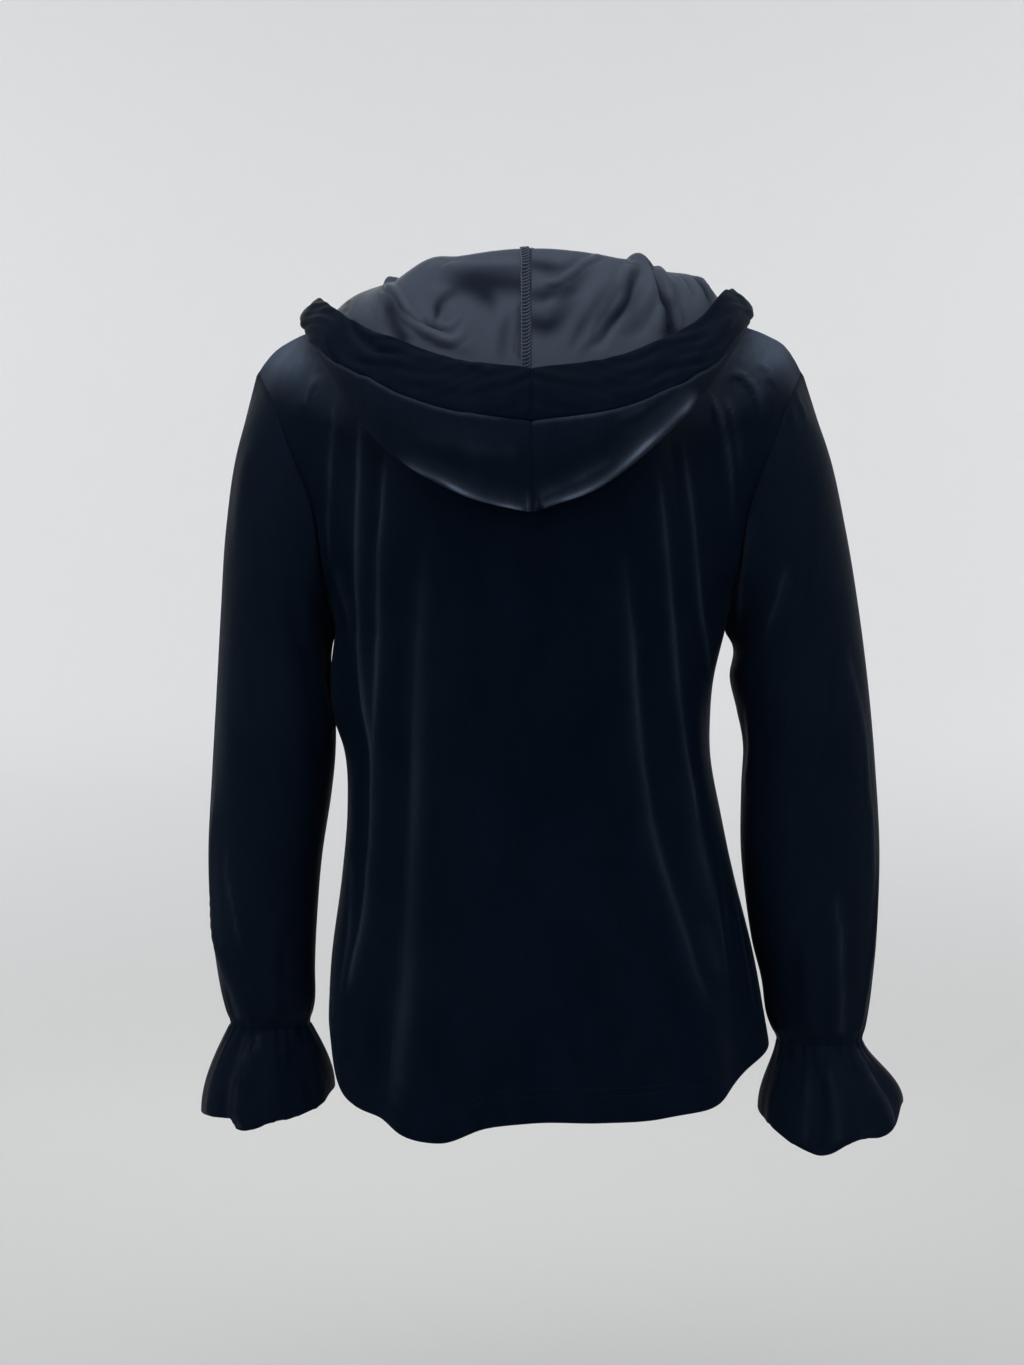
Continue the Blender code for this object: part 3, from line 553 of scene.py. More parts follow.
class Shading:
    """A material while its nodes are being added."""

    def __init__(self, name: str, roughness: float, specular: float, metallic: float = 0.0) -> None:
        """Starts a material with its plain values.

        Args:
            name: Its name.
            roughness: How rough it is.
            specular: How strongly it mirrors.
            metallic: 1 for bare metal.
        """
        self.material = bpy.data.materials.new(name)
        self.material.use_nodes = True
        self.tree = self.material.node_tree
        self.surface = self.tree.nodes["Principled BSDF"]
        self.surface.inputs["Roughness"].default_value = roughness
        self.surface.inputs["Specular IOR Level"].default_value = specular
        self.surface.inputs["Metallic"].default_value = metallic

    def node(
        self, kind: str, settings: Mapping[str, object], inputs: Mapping[Union[str, int], Value], output: int = 0
    ) -> Socket:
        """Adds one node.

        Args:
            kind: The node's type.
            settings: Its settings, such as a Math node's operation; "stops" fills a colour ramp.
            inputs: The value or link of each input, by name or number.
            output: Which output to give back.

        Returns:
            That output, ready for an expression.
        """
        made = self.tree.nodes.new(kind)
        for key, value in settings.items():
            if key == "stops":
                ramp_stops = made.color_ramp.elements
                while len(ramp_stops) < len(value):
                    ramp_stops.new(0.5)
                for stop, (place, shade) in zip(ramp_stops, value):
                    stop.position, stop.color = place, (shade, shade, shade, 1.0)
            else:
                setattr(made, key, value)
        for key, value in inputs.items():
            self.feed(made.inputs[key], value)
        return Socket(self, made.outputs[output])

    def feed(self, target: bpy.types.NodeSocket, value: Value) -> None:
        """Links a socket or sets its plain value."""
        if isinstance(value, Socket):
            self.tree.links.new(value.socket, target)
        elif isinstance(value, tuple) and len(value) == 3 and target.type == "RGBA":
            target.default_value = (*value, 1.0)
        else:
            target.default_value = value

    def mix(self, factor: Value, first: Value, second: Value) -> Socket:
        """Two colours mixed by a factor."""
        return self.node("ShaderNodeMix", {"data_type": "RGBA"}, {0: factor, 6: first, 7: second}, output=2)

    def cloth_place(self, scale: Tuple[float, float, float]) -> Socket:
        """The place on the piece's own cloth map, scaled."""
        place = self.node("ShaderNodeUVMap", {"uv_map": "cloth"}, {})
        return self.node("ShaderNodeVectorMath", {"operation": "MULTIPLY"}, {0: place, 1: scale})

    def object_place(self, scale: Tuple[float, float, float]) -> Socket:
        """The place in the object's space, scaled."""
        place = self.node("ShaderNodeTexCoord", {}, {}, output=3)
        return self.node("ShaderNodeVectorMath", {"operation": "MULTIPLY"}, {0: place, 1: scale})

    def noise(self, place: Socket, scale: float, detail: float = 2.0, rough: float = 0.5, warp: float = 0.0) -> Socket:
        """Soft noise from 0 to 1."""
        inputs = {"Vector": place, "Scale": scale, "Detail": detail, "Roughness": rough, "Distortion": warp}
        return self.node("ShaderNodeTexNoise", {}, inputs)

    def finish(self, colour: Value, roughness: Value, height: Socket, depth: float) -> bpy.types.Material:
        """Joins what varies to the surface.

        Args:
            colour: The base colour.
            roughness: The roughness.
            height: The relief, about 0 to 1.
            depth: How deep the relief is, in metres.

        Returns:
            The material.
        """
        self.feed(self.surface.inputs["Base Color"], colour)
        self.feed(self.surface.inputs["Roughness"], roughness)
        relief = self.node("ShaderNodeBump", {}, {"Height": height, "Distance": depth, "Strength": 1.0})
        self.feed(self.surface.inputs["Normal"], relief)
        return self.material


@dataclass(frozen=True)
class Velvet:
    """The short pile of the outer face."""

    deep: Colour = (0.0004, 0.0031, 0.0088)
    lifted: Colour = (0.0020, 0.0060, 0.0140)
    roughness: float = 0.55
    gloss: float = 0.024
    sheen: float = 0.034
    sheen_roughness: float = 0.30
    sheen_tint: Colour = (0.56, 0.76, 1.0)
    # the colour of the painted sheen
    painted_sheen: Colour = (0.125, 0.165, 0.232)

    def material(self) -> bpy.types.Material:
        """Near black with soft marks of the pile's lay, a fine pile, a sheen at its turns and a painted sheen from the
        mesh attribute.

        Returns:
            The material.
        """
        shading = Shading("velvet_pile", self.roughness, self.gloss)
        shading.surface.inputs["Sheen Weight"].default_value = self.sheen
        shading.surface.inputs["Sheen Roughness"].default_value = self.sheen_roughness
        shading.surface.inputs["Sheen Tint"].default_value = (*self.sheen_tint, 1.0)
        # random marks of the pile's lay, a tone of the cloth and not painted light
        nap = shading.noise(shading.cloth_place((1.0, 0.42, 1.0)), 34.0, 4.0, 0.62, 0.8)
        mark = shading.node("ShaderNodeValToRGB", {"stops": ((0.36, 0.0), (0.72, 1.0))}, {"Fac": nap})
        streak = shading.noise(shading.cloth_place((1.0, 0.16, 1.0)), 520.0, 2.0)
        pile = shading.noise(shading.cloth_place((1.0, 0.7, 1.0)), 2300.0, 3.0, 0.6)
        lift = mark * 0.55 + streak * 0.30
        colour = shading.mix(lift, self.deep, self.lifted)
        # painted sheen: the mesh attribute mixes the velvet towards the painted sheen colour
        sheen_paint = shading.node("ShaderNodeAttribute", {"attribute_name": "nap"}, {}, output=2)
        square = sheen_paint * sheen_paint
        light = sheen_paint * 0.36 + square * square * square * 0.64
        colour = shading.mix(light * (streak * 0.5 + mark * 0.3 + 0.6), colour, self.painted_sheen)
        rough = self.roughness - 0.10 + mark * 0.12 + pile * 0.10
        relief = pile * 0.45 + streak * 0.35 + nap * 0.9
        return shading.finish(colour, rough, relief, 0.00042)


@dataclass(frozen=True)
class Reverse:
    """The smooth knitted back of the velvet."""

    deep: Colour = (0.0350, 0.0465, 0.0660)
    lifted: Colour = (0.0570, 0.0710, 0.0970)
    shaded: Colour = (0.0030, 0.0060, 0.0150)
    roughness: float = 0.42

    def material(self) -> bpy.types.Material:
        """Slate grey with a satin gloss and fine upright ribs of knitting, darkened by painted shade where the mesh
        attribute is high.

        Returns:
            The material.
        """
        shading = Shading("knitted_reverse", self.roughness, 0.03)
        shading.surface.inputs["Specular Tint"].default_value = (0.80, 0.90, 1.0, 1.0)
        shading.surface.inputs["Sheen Weight"].default_value = 0.03
        shading.surface.inputs["Sheen Roughness"].default_value = 0.4
        drift = shading.noise(shading.cloth_place((1.0, 0.5, 1.0)), 26.0, 3.0, 0.55, 0.5)
        place = shading.cloth_place((1.0, 1.0, 1.0))
        ribs = shading.node(
            "ShaderNodeTexWave",
            {"wave_type": "BANDS", "bands_direction": "X"},
            {"Vector": place, "Scale": 760.0, "Distortion": 0.6, "Detail": 1.0},
        )
        yarn = shading.noise(shading.cloth_place((1.0, 0.6, 1.0)), 1700.0, 2.0)
        colour = shading.mix(drift * 0.8 + yarn * 0.2, self.deep, self.lifted)
        # painted shade: the mesh attribute darkens the reverse towards its shaded colour
        painted_shade = shading.node("ShaderNodeAttribute", {"attribute_name": "nap"}, {}, output=2)
        colour = shading.mix(painted_shade, colour, self.shaded)
        rough = self.roughness - 0.05 + yarn * 0.10
        return shading.finish(colour, rough, ribs * 0.25 + yarn * 0.35 + drift * 1.2, 0.00016)


@dataclass(frozen=True)
class Thread:
    """Sewing thread, as wound from fine filaments."""

    name: str = "sewing_thread"
    colour: Colour = (0.0030, 0.0048, 0.0095)
    gloss: float = 0.06

    def material(self) -> bpy.types.Material:
        """A soft thread with a twist.

        Returns:
            The material.
        """
        shading = Shading(self.name, 0.6, self.gloss)
        grain = shading.noise(shading.object_place((1.0, 1.0, 1.0)), 2400.0, 2.0)
        lighter = tuple(min(1.0, 1.7 * c) for c in self.colour)
        return shading.finish(shading.mix(grain, self.colour, lighter), grain * 0.2 + 0.5, grain, 0.0001)


@dataclass(frozen=True)
class Tape:
    """The woven tape of the zip."""

    colour: Colour = (0.0030, 0.0040, 0.0065)
    lighter: Colour = (0.0090, 0.0110, 0.0160)

    def material(self) -> bpy.types.Material:
        """A close herringbone weave.

        Returns:
            The material.
        """
        shading = Shading("zip_tape_weave", 0.8, 0.1)
        place = shading.object_place((1.0, 1.0, 1.0))
        warp = shading.node("ShaderNodeTexWave", {"bands_direction": "DIAGONAL"}, {"Vector": place, "Scale": 420.0})
        weft = shading.noise(place, 1500.0, 2.0)
        colour = shading.mix(warp * 0.7 + weft * 0.3, self.colour, self.lighter)
        return shading.finish(colour, weft * 0.1 + 0.72, warp * 0.7 + weft * 0.3, 0.0002)


@dataclass(frozen=True)
class Plated:
    """Dark plated metal, or moulded elements when it isn't metallic."""

    name: str = "dark_plated_metal"
    colour: Colour = (0.055, 0.055, 0.060)
    worn: Colour = (0.110, 0.108, 0.105)
    metallic: float = 1.0
    roughness: float = 0.30

    def material(self) -> bpy.types.Material:
        """Smooth, a little worn, with faint scratches.

        Returns:
            The material.
        """
        shading = Shading(self.name, self.roughness, 0.5, self.metallic)
        place = shading.object_place((1.0, 1.0, 1.0))
        wear = shading.noise(place, 420.0, 4.0, 0.65)
        scratch = shading.noise(shading.object_place((0.15, 1.0, 1.0)), 3800.0, 1.0)
        colour = shading.mix(wear, self.colour, self.worn)
        return shading.finish(colour, wear * 0.18 + scratch * 0.08 + (self.roughness - 0.12), scratch, 0.00003)


@dataclass(frozen=True)
class Paper:
    """The studio's seamless pale backdrop."""

    colour: Colour = (0.88, 0.88, 0.885)
    # painted shade low down, towards the floor
    low_painted_shade: Colour = (0.66, 0.655, 0.645)

    def material(self) -> bpy.types.Material:
        """Matt and even, with painted shade that makes it darker towards the floor.

        Returns:
            The material.
        """
        shading = Shading("seamless_paper", 0.95, 0.1)
        place = shading.object_place((1.0, 1.0, 1.0))
        tone = shading.noise(place, 0.7, 1.0)
        height = shading.node("ShaderNodeSeparateXYZ", {}, {0: place}, output=2)
        span = {"Value": height, "From Min": -1.10, "From Max": -0.35}
        rise = shading.node("ShaderNodeMapRange", {"interpolation_type": "SMOOTHSTEP"}, span)
        colour = shading.mix(rise * 0.98 + tone * 0.02, self.low_painted_shade, self.colour)
        return shading.finish(colour, 0.95, tone, 0.00001)


@dataclass(frozen=True)
class Finishes:
    """Every material of the jacket, made once."""

    velvet: bpy.types.Material
    reverse: bpy.types.Material
    thread: bpy.types.Material
    overlock: bpy.types.Material
    tape: bpy.types.Material
    metal: bpy.types.Material
    teeth: bpy.types.Material

    @staticmethod
    def make() -> "Finishes":
        """Makes the materials."""
        return Finishes(
            velvet=Velvet().material(),
            reverse=Reverse().material(),
            thread=Thread().material(),
            overlock=Thread("overlock_thread", (0.062, 0.076, 0.104), 0.3).material(),
            tape=Tape().material(),
            metal=Plated().material(),
            teeth=Plated("zip_teeth", (0.010, 0.010, 0.012), (0.022, 0.022, 0.026), 0.0, 0.42).material(),
        )


# ---------------------------------------------------------------------------------------- sewing


@dataclass(frozen=True)
class Stitching:
    """A row of separate stitches along a line on the cloth."""

    name: str
    pitch: float = 0.0030
    length: float = 0.0022
    radius: float = 0.00024
    sides: int = 5

    def build(self, line: Array, out: Array, finish: bpy.types.Material) -> bpy.types.Object:
        """Makes the row as one object.

        Args:
            line: Points on the cloth that the row follows.
            out: The outward direction at each.
            finish: The thread's material.

        Returns:
            The row.
        """
        gone = np.concatenate([[0], np.cumsum(np.linalg.norm(np.diff(line, axis=0), axis=1))])
        starts = np.arange(self.pitch / 2, gone[-1] - self.length, self.pitch)
        bodies = []
        for start in starts:
            at = start + np.array([0.0, 0.2, 0.5, 0.8, 1.0]) * self.length
            spine = np.stack([np.interp(at, gone, line[:, k]) for k in range(3)], axis=1)
            normal = unit(np.stack([np.interp(at, gone, out[:, k]) for k in range(3)], axis=1))
            rise = np.array([-0.6, 0.25, 0.6, 0.25, -0.6])[:, None] * self.radius
            bodies.append((spine + normal * rise, normal))
        return tubes(self.name, bodies, self.radius, self.sides, finish)


def tubes(
    name: str, bodies: Sequence[Tuple[Array, Array]], radius: float, sides: int, finish: bpy.types.Material
) -> bpy.types.Object:
    """Many short threads with pointed ends as one object.

    Args:
        name: Its name.
        bodies: For each thread, its middle line and the outward direction at each point.
        radius: Half the thread's thickness.
        sides: Sides of its section.
        finish: Its material.

    Returns:
        The object.
    """
    points: List[Array] = []
    faces: List[List[int]] = []
    turns = np.arange(sides)[None, :, None] * 2 * math.pi / sides
    base = 0
    for spine, normal in bodies:
        way = unit(np.gradient(spine, axis=0))
        wide = unit(np.cross(way, normal))
        up = np.cross(wide, way)
        count = len(spine)
        size = np.ones(count)
        size[0] = size[-1] = 0.45
        ring = np.cos(turns) * wide[:, None] + np.sin(turns) * up[:, None]
        points.append((spine[:, None] + ring * (radius * size)[:, None, None]).reshape(-1, 3))
        for i in range(count - 1):
            for j in range(sides):
                k = (j + 1) % sides
                a, b = base + i * sides, base + (i + 1) * sides
                faces.append([a + j, b + j, b + k, a + k])
        faces.append([base + j for j in range(sides)])
        faces.append([base + (count - 1) * sides + j for j in range(sides)][::-1])
        base += count * sides
    mesh = bpy.data.meshes.new(name)
    mesh.from_pydata(np.concatenate(points).tolist(), [], faces)
    mesh.shade_smooth()
    mesh.materials.append(finish)
    return placed(name, mesh)


def settle(piece: bpy.types.Object, *nodes: str, body: str = "jacket", slot: str = "velvet") -> None:
    """Rides a finished piece on its body, in place of its CAD nodes.

    Args:
        piece: The piece.
        nodes: The nodes that it stands for.
        body: The body that carries it.
        slot: Not used.
    """
    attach(piece, body)
    if nodes:
        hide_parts(*nodes)
    LOG.info("%s: %d faces", piece.name, len(piece.data.polygons))


# ------------------------------------------------------------------------------------------ body


@dataclass(frozen=True)
class BodyShape:
    """The worn shape that the pieces hang on, as tables of sections in metres."""

    cloth: float = 0.0016
    underarm_z: float = -0.278
    underarm_x: float = 0.155
    ring_power: float = 2.3
    zip_gap: float = 0.0065
    neck_share: float = 0.6  # share of a panel's columns that end at the neck
    front_azimuth: float = 176.5
    edge_passes: int = 200  # of smoothing along the zip's edge

    levels: Row = (-0.680, -0.610, -0.534, -0.470, -0.422, -0.374, -0.345, -0.322, -0.278)
    left_x: Row = (0.172, 0.1612, 0.157, 0.148, 0.144, 0.1475, 0.1570, 0.1590, 0.155)
    right_x: Row = (0.202, 0.191, 0.178, 0.162, 0.151, 0.1425, 0.1430, 0.1450, 0.155)
    back_y: Row = (0.136, 0.129, 0.118, 0.108, 0.105, 0.107, 0.110, 0.1125, 0.118)
    front_y: Row = (0.130, 0.125, 0.119, 0.113, 0.112, 0.116, 0.1205, 0.124, 0.128)

    rise: Row = (0.0, 0.2, 0.4, 0.6, 0.8, 1.0)
    rise_back_y: Row = (0.118, 0.119, 0.113, 0.098, 0.077, 0.055)
    rise_back_z: Row = (-0.278, -0.205, -0.145, -0.088, -0.038, 0.0)
    rise_front_y: Row = (0.128, 0.130, 0.128, 0.122, 0.114, 0.105)
    rise_front_z: Row = (-0.278, -0.240, -0.206, -0.174, -0.145, -0.118)
    armhole_z: Row = (-0.278, -0.238, -0.186, -0.140, -0.098, -0.0716)
    back_armhole_x: Row = (0.155, 0.161, 0.168, 0.186, 0.203, 0.218)
    back_armhole_y: Row = (0.0, 0.046, 0.061, 0.058, 0.038, 0.0)
    front_armhole_x: Row = (0.155, 0.157, 0.163, 0.177, 0.198, 0.218)
    front_armhole_y: Row = (0.0, 0.044, 0.058, 0.056, 0.038, 0.0)

    shoulder_x: Row = (0.088, 0.130, 0.165, 0.190, 0.206, 0.218)
    shoulder_left: Row = (-0.012, -0.025, -0.0355, -0.0455, -0.0565, -0.0716)
    shoulder_right: Row = (-0.012, -0.024, -0.033, -0.0420, -0.0525, -0.0716)

    back_hem_x: Row = (-0.210, -0.191, -0.175, -0.158, -0.139, -0.122, -0.095, -0.050, 0.0,
                       0.034, 0.064, 0.090, 0.106, 0.1275, 0.138, 0.1455, 0.1505, 0.1545, 0.158, 0.180)
    back_hem_z: Row = (-0.600, -0.6046, -0.611, -0.619, -0.6280, -0.6350, -0.6400, -0.6412, -0.6408,
                       -0.646, -0.6567, -0.6515, -0.6435, -0.6365, -0.6285, -0.6190, -0.6095, -0.5990, -0.590, -0.584)
    front_hem_x: Row = (-0.210, -0.191, -0.170, -0.140, -0.100, -0.050, 0.0, 0.050, 0.100, 0.140, 0.166, 0.180)
    front_hem_z: Row = (-0.602, -0.6046, -0.611, -0.620, -0.627, -0.628, -0.624, -0.628, -0.624, -0.606, -0.587,
                        -0.582)

    neck_azimuth: Row = (0.0, 22.0, 45.0, 67.0, 90.0, 112.0, 135.0, 157.0, 176.5)
    neck_r: Row = (0.055, 0.059, 0.068, 0.080, 0.088, 0.089, 0.088, 0.094, 0.1055)
    neck_z: Row = (0.000, -0.001, -0.004, -0.008, -0.012, -0.030, -0.060, -0.095, -0.118)

    def read(self, column: str, share: Array) -> Array:
        """One column of the tables that rise from the underarm to the shoulder."""
        return smooth(self.rise, getattr(self, column), share)

    def neck(self, azimuths: Array) -> Array:
        """The neck seam on the wearer's left.

        Args:
            azimuths: Directions in degrees, 0 straight back and 180 straight ahead.

        Returns:
            One point for each.
        """
        radius = smooth(self.neck_azimuth, self.neck_r, azimuths)
        height = smooth(self.neck_azimuth, self.neck_z, azimuths)
        angle = np.radians(azimuths)
        return np.stack([radius * np.sin(angle), radius * np.cos(angle), height], axis=1)

    def ring(self, side_x: float, depth: float, shares: Array) -> Tuple[Array, Array]:
        """Half of a panel's level section, from its middle to the side seam.

        Args:
            side_x: How far out its side seam is.
            depth: How far its middle is from the plane of the side seams.
            shares: Its columns, from the middle (0) to the side (1).

        Returns:
            How far out and how deep it is at each column.
        """
        angle = shares * math.pi / 2
        power = 2 / self.ring_power
        return side_x * np.sin(angle) ** power, depth * np.clip(np.cos(angle), 0, 1) ** power

    def top_edge(self, face: Face, side: Side, columns: Array) -> Array:
        """A panel's neck and shoulder seam, from its middle out to the shoulder tip.

        Args:
            face: Back or front.
            side: Which half.
            columns: Its columns, from the middle (0) to the side (1).

        Returns:
            One point for each column, as if on the wearer's left.
        """
        middle = 0.0 if face is Face.BACK else self.front_azimuth
        neck = self.neck(middle + (90.0 - middle) * np.clip(columns / self.neck_share, 0, 1))
        out = np.clip((columns - self.neck_share) / (1 - self.neck_share), 0, 1)
        x = self.shoulder_x[0] + (self.shoulder_x[-1] - self.shoulder_x[0]) * out
        z = smooth(self.shoulder_x, self.shoulder_left if side is Side.LEFT else self.shoulder_right, x)
        seam = np.stack([x, np.zeros_like(x), z], axis=1)
        return np.where((columns <= self.neck_share)[:, None], neck, seam)

    def upper(self, face: Face, side: Side, shares: Array, columns: Array) -> Array:
        """Half a panel above the underarm, blended between its four edges.

        Args:
            face: Back or front.
            side: Which half.
            shares: Its rows, from the underarm (0) to the shoulder (1).
            columns: Its columns, from the middle (0) to the side (1).

        Returns:
            Rows by columns by 3, as if on the wearer's left.
        """
        top = self.top_edge(face, side, columns)
        start = self.zip_gap if face is Face.FRONT else 0.0
        depth, height = f"rise_{face.value}_y", f"rise_{face.value}_z"
        ring_x, ring_y = self.ring(self.underarm_x, getattr(self, depth)[0], columns)
        low = np.stack([np.maximum(ring_x, start), face.sign * ring_y, np.full_like(ring_x, self.underarm_z)], axis=1)
        angle = shares * math.pi / 2
        blend = np.stack([shares, 1 - np.cos(angle), np.sin(angle)], axis=1)[:, None, :]
        middle = np.stack(
            [np.full_like(shares, start), face.sign * self.read(depth, shares), self.read(height, shares)], axis=1
        )
        rows = (1 - blend) * low + blend * top
        across = columns[None, :, None]
        edge = self.armhole(face, shares)
        return rows + (1 - across) * (middle[:, None] - rows[:, :1]) + across * (edge[:, None] - rows[:, -1:])

    def armhole(self, face: Face, shares: Array) -> Array:
        """Half of the armhole seam on the wearer's left.

        Args:
            face: Back or front.
            shares: Places from the underarm (0) to the shoulder tip (1).

        Returns:
            One point for each.
        """
        across = self.read(f"{face.value}_armhole_x", shares)
        deep = face.sign * self.read(f"{face.value}_armhole_y", shares)
        return np.stack([across, deep, self.read("armhole_z", shares)], axis=1)

    def half(self, face: Face, side: Side, low_shares: Array, high_shares: Array, columns: Array) -> Array:
        """Half a panel's plain shape, from its middle to its side seam and from hem to shoulder.

        Args:
            face: Back or front.
            side: Which half.
            low_shares: Rows from the hem (0) to the underarm (1, left out).
            high_shares: Rows from the underarm (0) to the shoulder (1).
            columns: Columns from the middle (0) to the side (1).

        Returns:
            Rows by columns by 3, on its own side of the body.
        """
        start = self.zip_gap if face is Face.FRONT else 0.0
        side_x = self.left_x if side is Side.LEFT else self.right_x
        deep = self.back_y if face is Face.BACK else self.front_y
        keys = []
        for wide, depth, height in zip(side_x, deep, self.levels):
            x, y = self.ring(wide, depth, columns)
            keys.append(np.stack([np.maximum(x, start), face.sign * y, np.full_like(x, height)], axis=1))
        sections = np.array(keys)
        hem_x, hem_z = (
            (self.back_hem_x, self.back_hem_z) if face is Face.BACK else (self.front_hem_x, self.front_hem_z)
        )
        edge = smooth(hem_x, hem_z, sections[1, :, 0] * side.sign)
        lower = np.zeros((len(low_shares), len(columns), 3))
        for column, hem in enumerate(edge):
            lower[:, column] = smooth(self.levels, sections[:, column], hem + (self.underarm_z - hem) * low_shares)
        half = np.concatenate([lower, self.upper(face, side, high_shares, columns)])
        if face is Face.FRONT:  # one even edge along the zip
            even = even_out(half[:, :1, 0].copy(), self.edge_passes)
            half[:, :, 0] += (even - half[:, :1, 0]) * ramp(-half[:, :, 0], -0.03, 0.0)
        half[:, :, 0] *= side.sign
        return half


# Creases on the back, as (x, z) in millimetres: +x is the wearer's left, on the left of the picture.
BACK_CREASES = (
    Crease(((149, -96), (150, -130), (152, -165), (154, -200), (152, -240)), 3.0, 1.8, Fold.PRESS, painted_light=0.22),
    Crease(((128, -110), (129, -161), (131, -229), (131, -288), (127, -333), (120, -378), (122, -443), (127, -497),
            (134, -530), (141, -562)), 3.2, 2.6, Fold.PRESS, 0.12, 0.10, 0.25, painted_light=0.40),
    Crease(((108, -130), (110, -185), (113, -229), (115, -288), (118, -348), (119, -407), (117, -450)), 3.0, 2.2,
           Fold.PRESS, 0.15, 0.3, painted_light=0.36),
    Crease(((79, -190), (82, -274), (85, -333), (87, -406), (89, -480), (92, -539), (96, -590), (100, -640)), 8.0, 3.6,
           Fold.ROLL, 0.2, 0.08, 0.3, painted_light=0.17),
    Crease(((138, -450), (137, -485), (140, -530), (148, -570)), 3.2, 1.8, Fold.PRESS, painted_light=0.20),
    Crease(((-66, -205), (-74, -274), (-78, -333), (-84, -385), (-91, -429), (-101, -466), (-113, -503), (-124, -540),
            (-139, -570)), 3.8, 3.4, Fold.PRESS, 0.2, 0.2, -0.3, painted_light=0.30),
    Crease(((-92, -150), (-100, -229), (-105, -274), (-111, -326), (-118, -378), (-124, -422), (-134, -470)), 3.0, 2.4,
           Fold.PRESS, 0.12, 0.25, painted_light=0.34),
    Crease(((-112, -130), (-120, -199), (-127, -258), (-135, -296), (-138, -320)), 3.0, 2.2, Fold.PRESS, 0.2, 0.3,
           painted_light=0.30),
    Crease(((-134, -94), (-144, -123), (-149, -144), (-152, -175), (-153, -208)), 3.0, 2.0, Fold.PRESS, 0.2, 0.4,
           painted_light=0.26),
    Crease(((-146, -100), (-156, -130), (-160, -168)), 3.0, 1.4, Fold.PRESS, painted_light=0.12),
    Crease(((-115, -355), (-121, -400), (-125, -430), (-134, -467), (-143, -515), (-150, -560)), 7.0, 2.4, Fold.ROLL,
           0.3, 0.3, -0.2, painted_light=0.15),
    Crease(((-130, -492), (-137, -522), (-146, -552)), 11.0, 1.2, Fold.ROLL, 0.4, 0.4, painted_light=0.10),
    Crease(((-156, -480), (-163, -530), (-172, -590)), 6.0, 2.0),
    Crease(((30, -330), (22, -420), (18, -520), (20, -620)), 20.0, 2.2, Fold.ROLL, 0.4, 0.2),
    Crease(((-30, -340), (-36, -440), (-46, -540), (-58, -630)), 18.0, 2.0, Fold.ROLL, 0.4, 0.2),
    Crease(((104, -470), (108, -530), (113, -600), (118, -630)), 8.0, -2.6, Fold.ROLL, 0.4, 0.1),
    Crease(((64, -420), (66, -500), (64, -580), (62, -640)), 12.0, -2.6, Fold.ROLL, 0.4, 0.1),
    Crease(((-148, -86), (-160, -84), (-170, -92), (-176, -104), (-178, -120)), 3.2, 2.0, Fold.PRESS, 0.3, 0.4,
           painted_light=0.40),
    Crease(((-176, -70), (-184, -78), (-188, -92)), 3.0, 1.2, Fold.PRESS),
    Crease(((160, -84), (168, -92), (172, -104), (170, -122)), 3.6, 1.3, Fold.PRESS, 0.3, 0.4, painted_light=0.12),
    Crease(((150, -232), (140, -262), (134, -296)), 5.0, 1.8, Fold.ROLL, 0.2, 0.5, painted_light=0.10),
)

# Creases on a front, as (x, z) in millimetres out from the zip; the right front is a little different.
FRONT_CREASES = (
    Crease(((146, -226), (128, -250), (106, -268)), 6.0, 3.0, Fold.ROLL, 0.15, 0.5),
    Crease(((150, -262), (134, -290), (112, -306)), 6.5, 2.8, Fold.ROLL, 0.15, 0.5),
    Crease(((140, -170), (128, -204), (116, -232)), 5.5, 2.2, Fold.ROLL, 0.2, 0.5),
    Crease(((86, -296), (80, -360), (78, -440), (84, -540), (88, -622)), 9.0, 4.4, Fold.ROLL, 0.25, 0.1, 0.2),
    Crease(((120, -312), (116, -380), (120, -450), (130, -530), (138, -590)), 7.5, 3.6, Fold.ROLL, 0.25, 0.12),
    Crease(((58, -330), (46, -420), (42, -520), (44, -616)), 9.0, -2.8, Fold.ROLL, 0.3, 0.1),
    Crease(((104, -420), (106, -500), (110, -600)), 8.0, -2.6, Fold.ROLL, 0.3, 0.1),
    Crease(((30, -250), (24, -330), (22, -400)), 7.0, 1.6, Fold.ROLL, 0.3, 0.4),
    Crease(((12, -306), (26, -312), (40, -314)), 3.0, 0.9, Fold.ROLL, 0.05, 0.6),
    Crease(((12, -352), (24, -350), (36, -356)), 3.0, 1.0, Fold.ROLL, 0.05, 0.6),
    Crease(((12, -398), (25, -404), (40, -402)), 3.0, 0.9, Fold.ROLL, 0.05, 0.6),
    Crease(((12, -452), (22, -448), (34, -452)), 3.2, 0.9, Fold.ROLL, 0.05, 0.6),
    Crease(((12, -512), (24, -518), (38, -514)), 3.2, 1.0, Fold.ROLL, 0.05, 0.6),
    Crease(((12, -566), (22, -562), (34, -568)), 3.2, 0.8, Fold.ROLL, 0.05, 0.6),
)


def tape_line() -> Array:
    """The front face of the left zip tape near its inner edge.

    Returns:
        Its (y, z) from foot to top.
    """
    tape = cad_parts["zip_tape_left"]
    places = [tape.matrix_world @ v.co for v in tape.data.vertices]
    tree = BVHTree.FromPolygons(places, [tuple(p.vertices) for p in tape.data.polygons])
    heights = np.linspace(min(p.z for p in places) + 0.0005, max(p.z for p in places) - 0.0005, 240)
    hits = [tree.ray_cast(Vector((0.0012, -1.0, z)), Vector((0.0, 1.0, 0.0)))[0] for z in heights]
    return np.array([(hit.y, hit.z) for hit in hits if hit is not None])


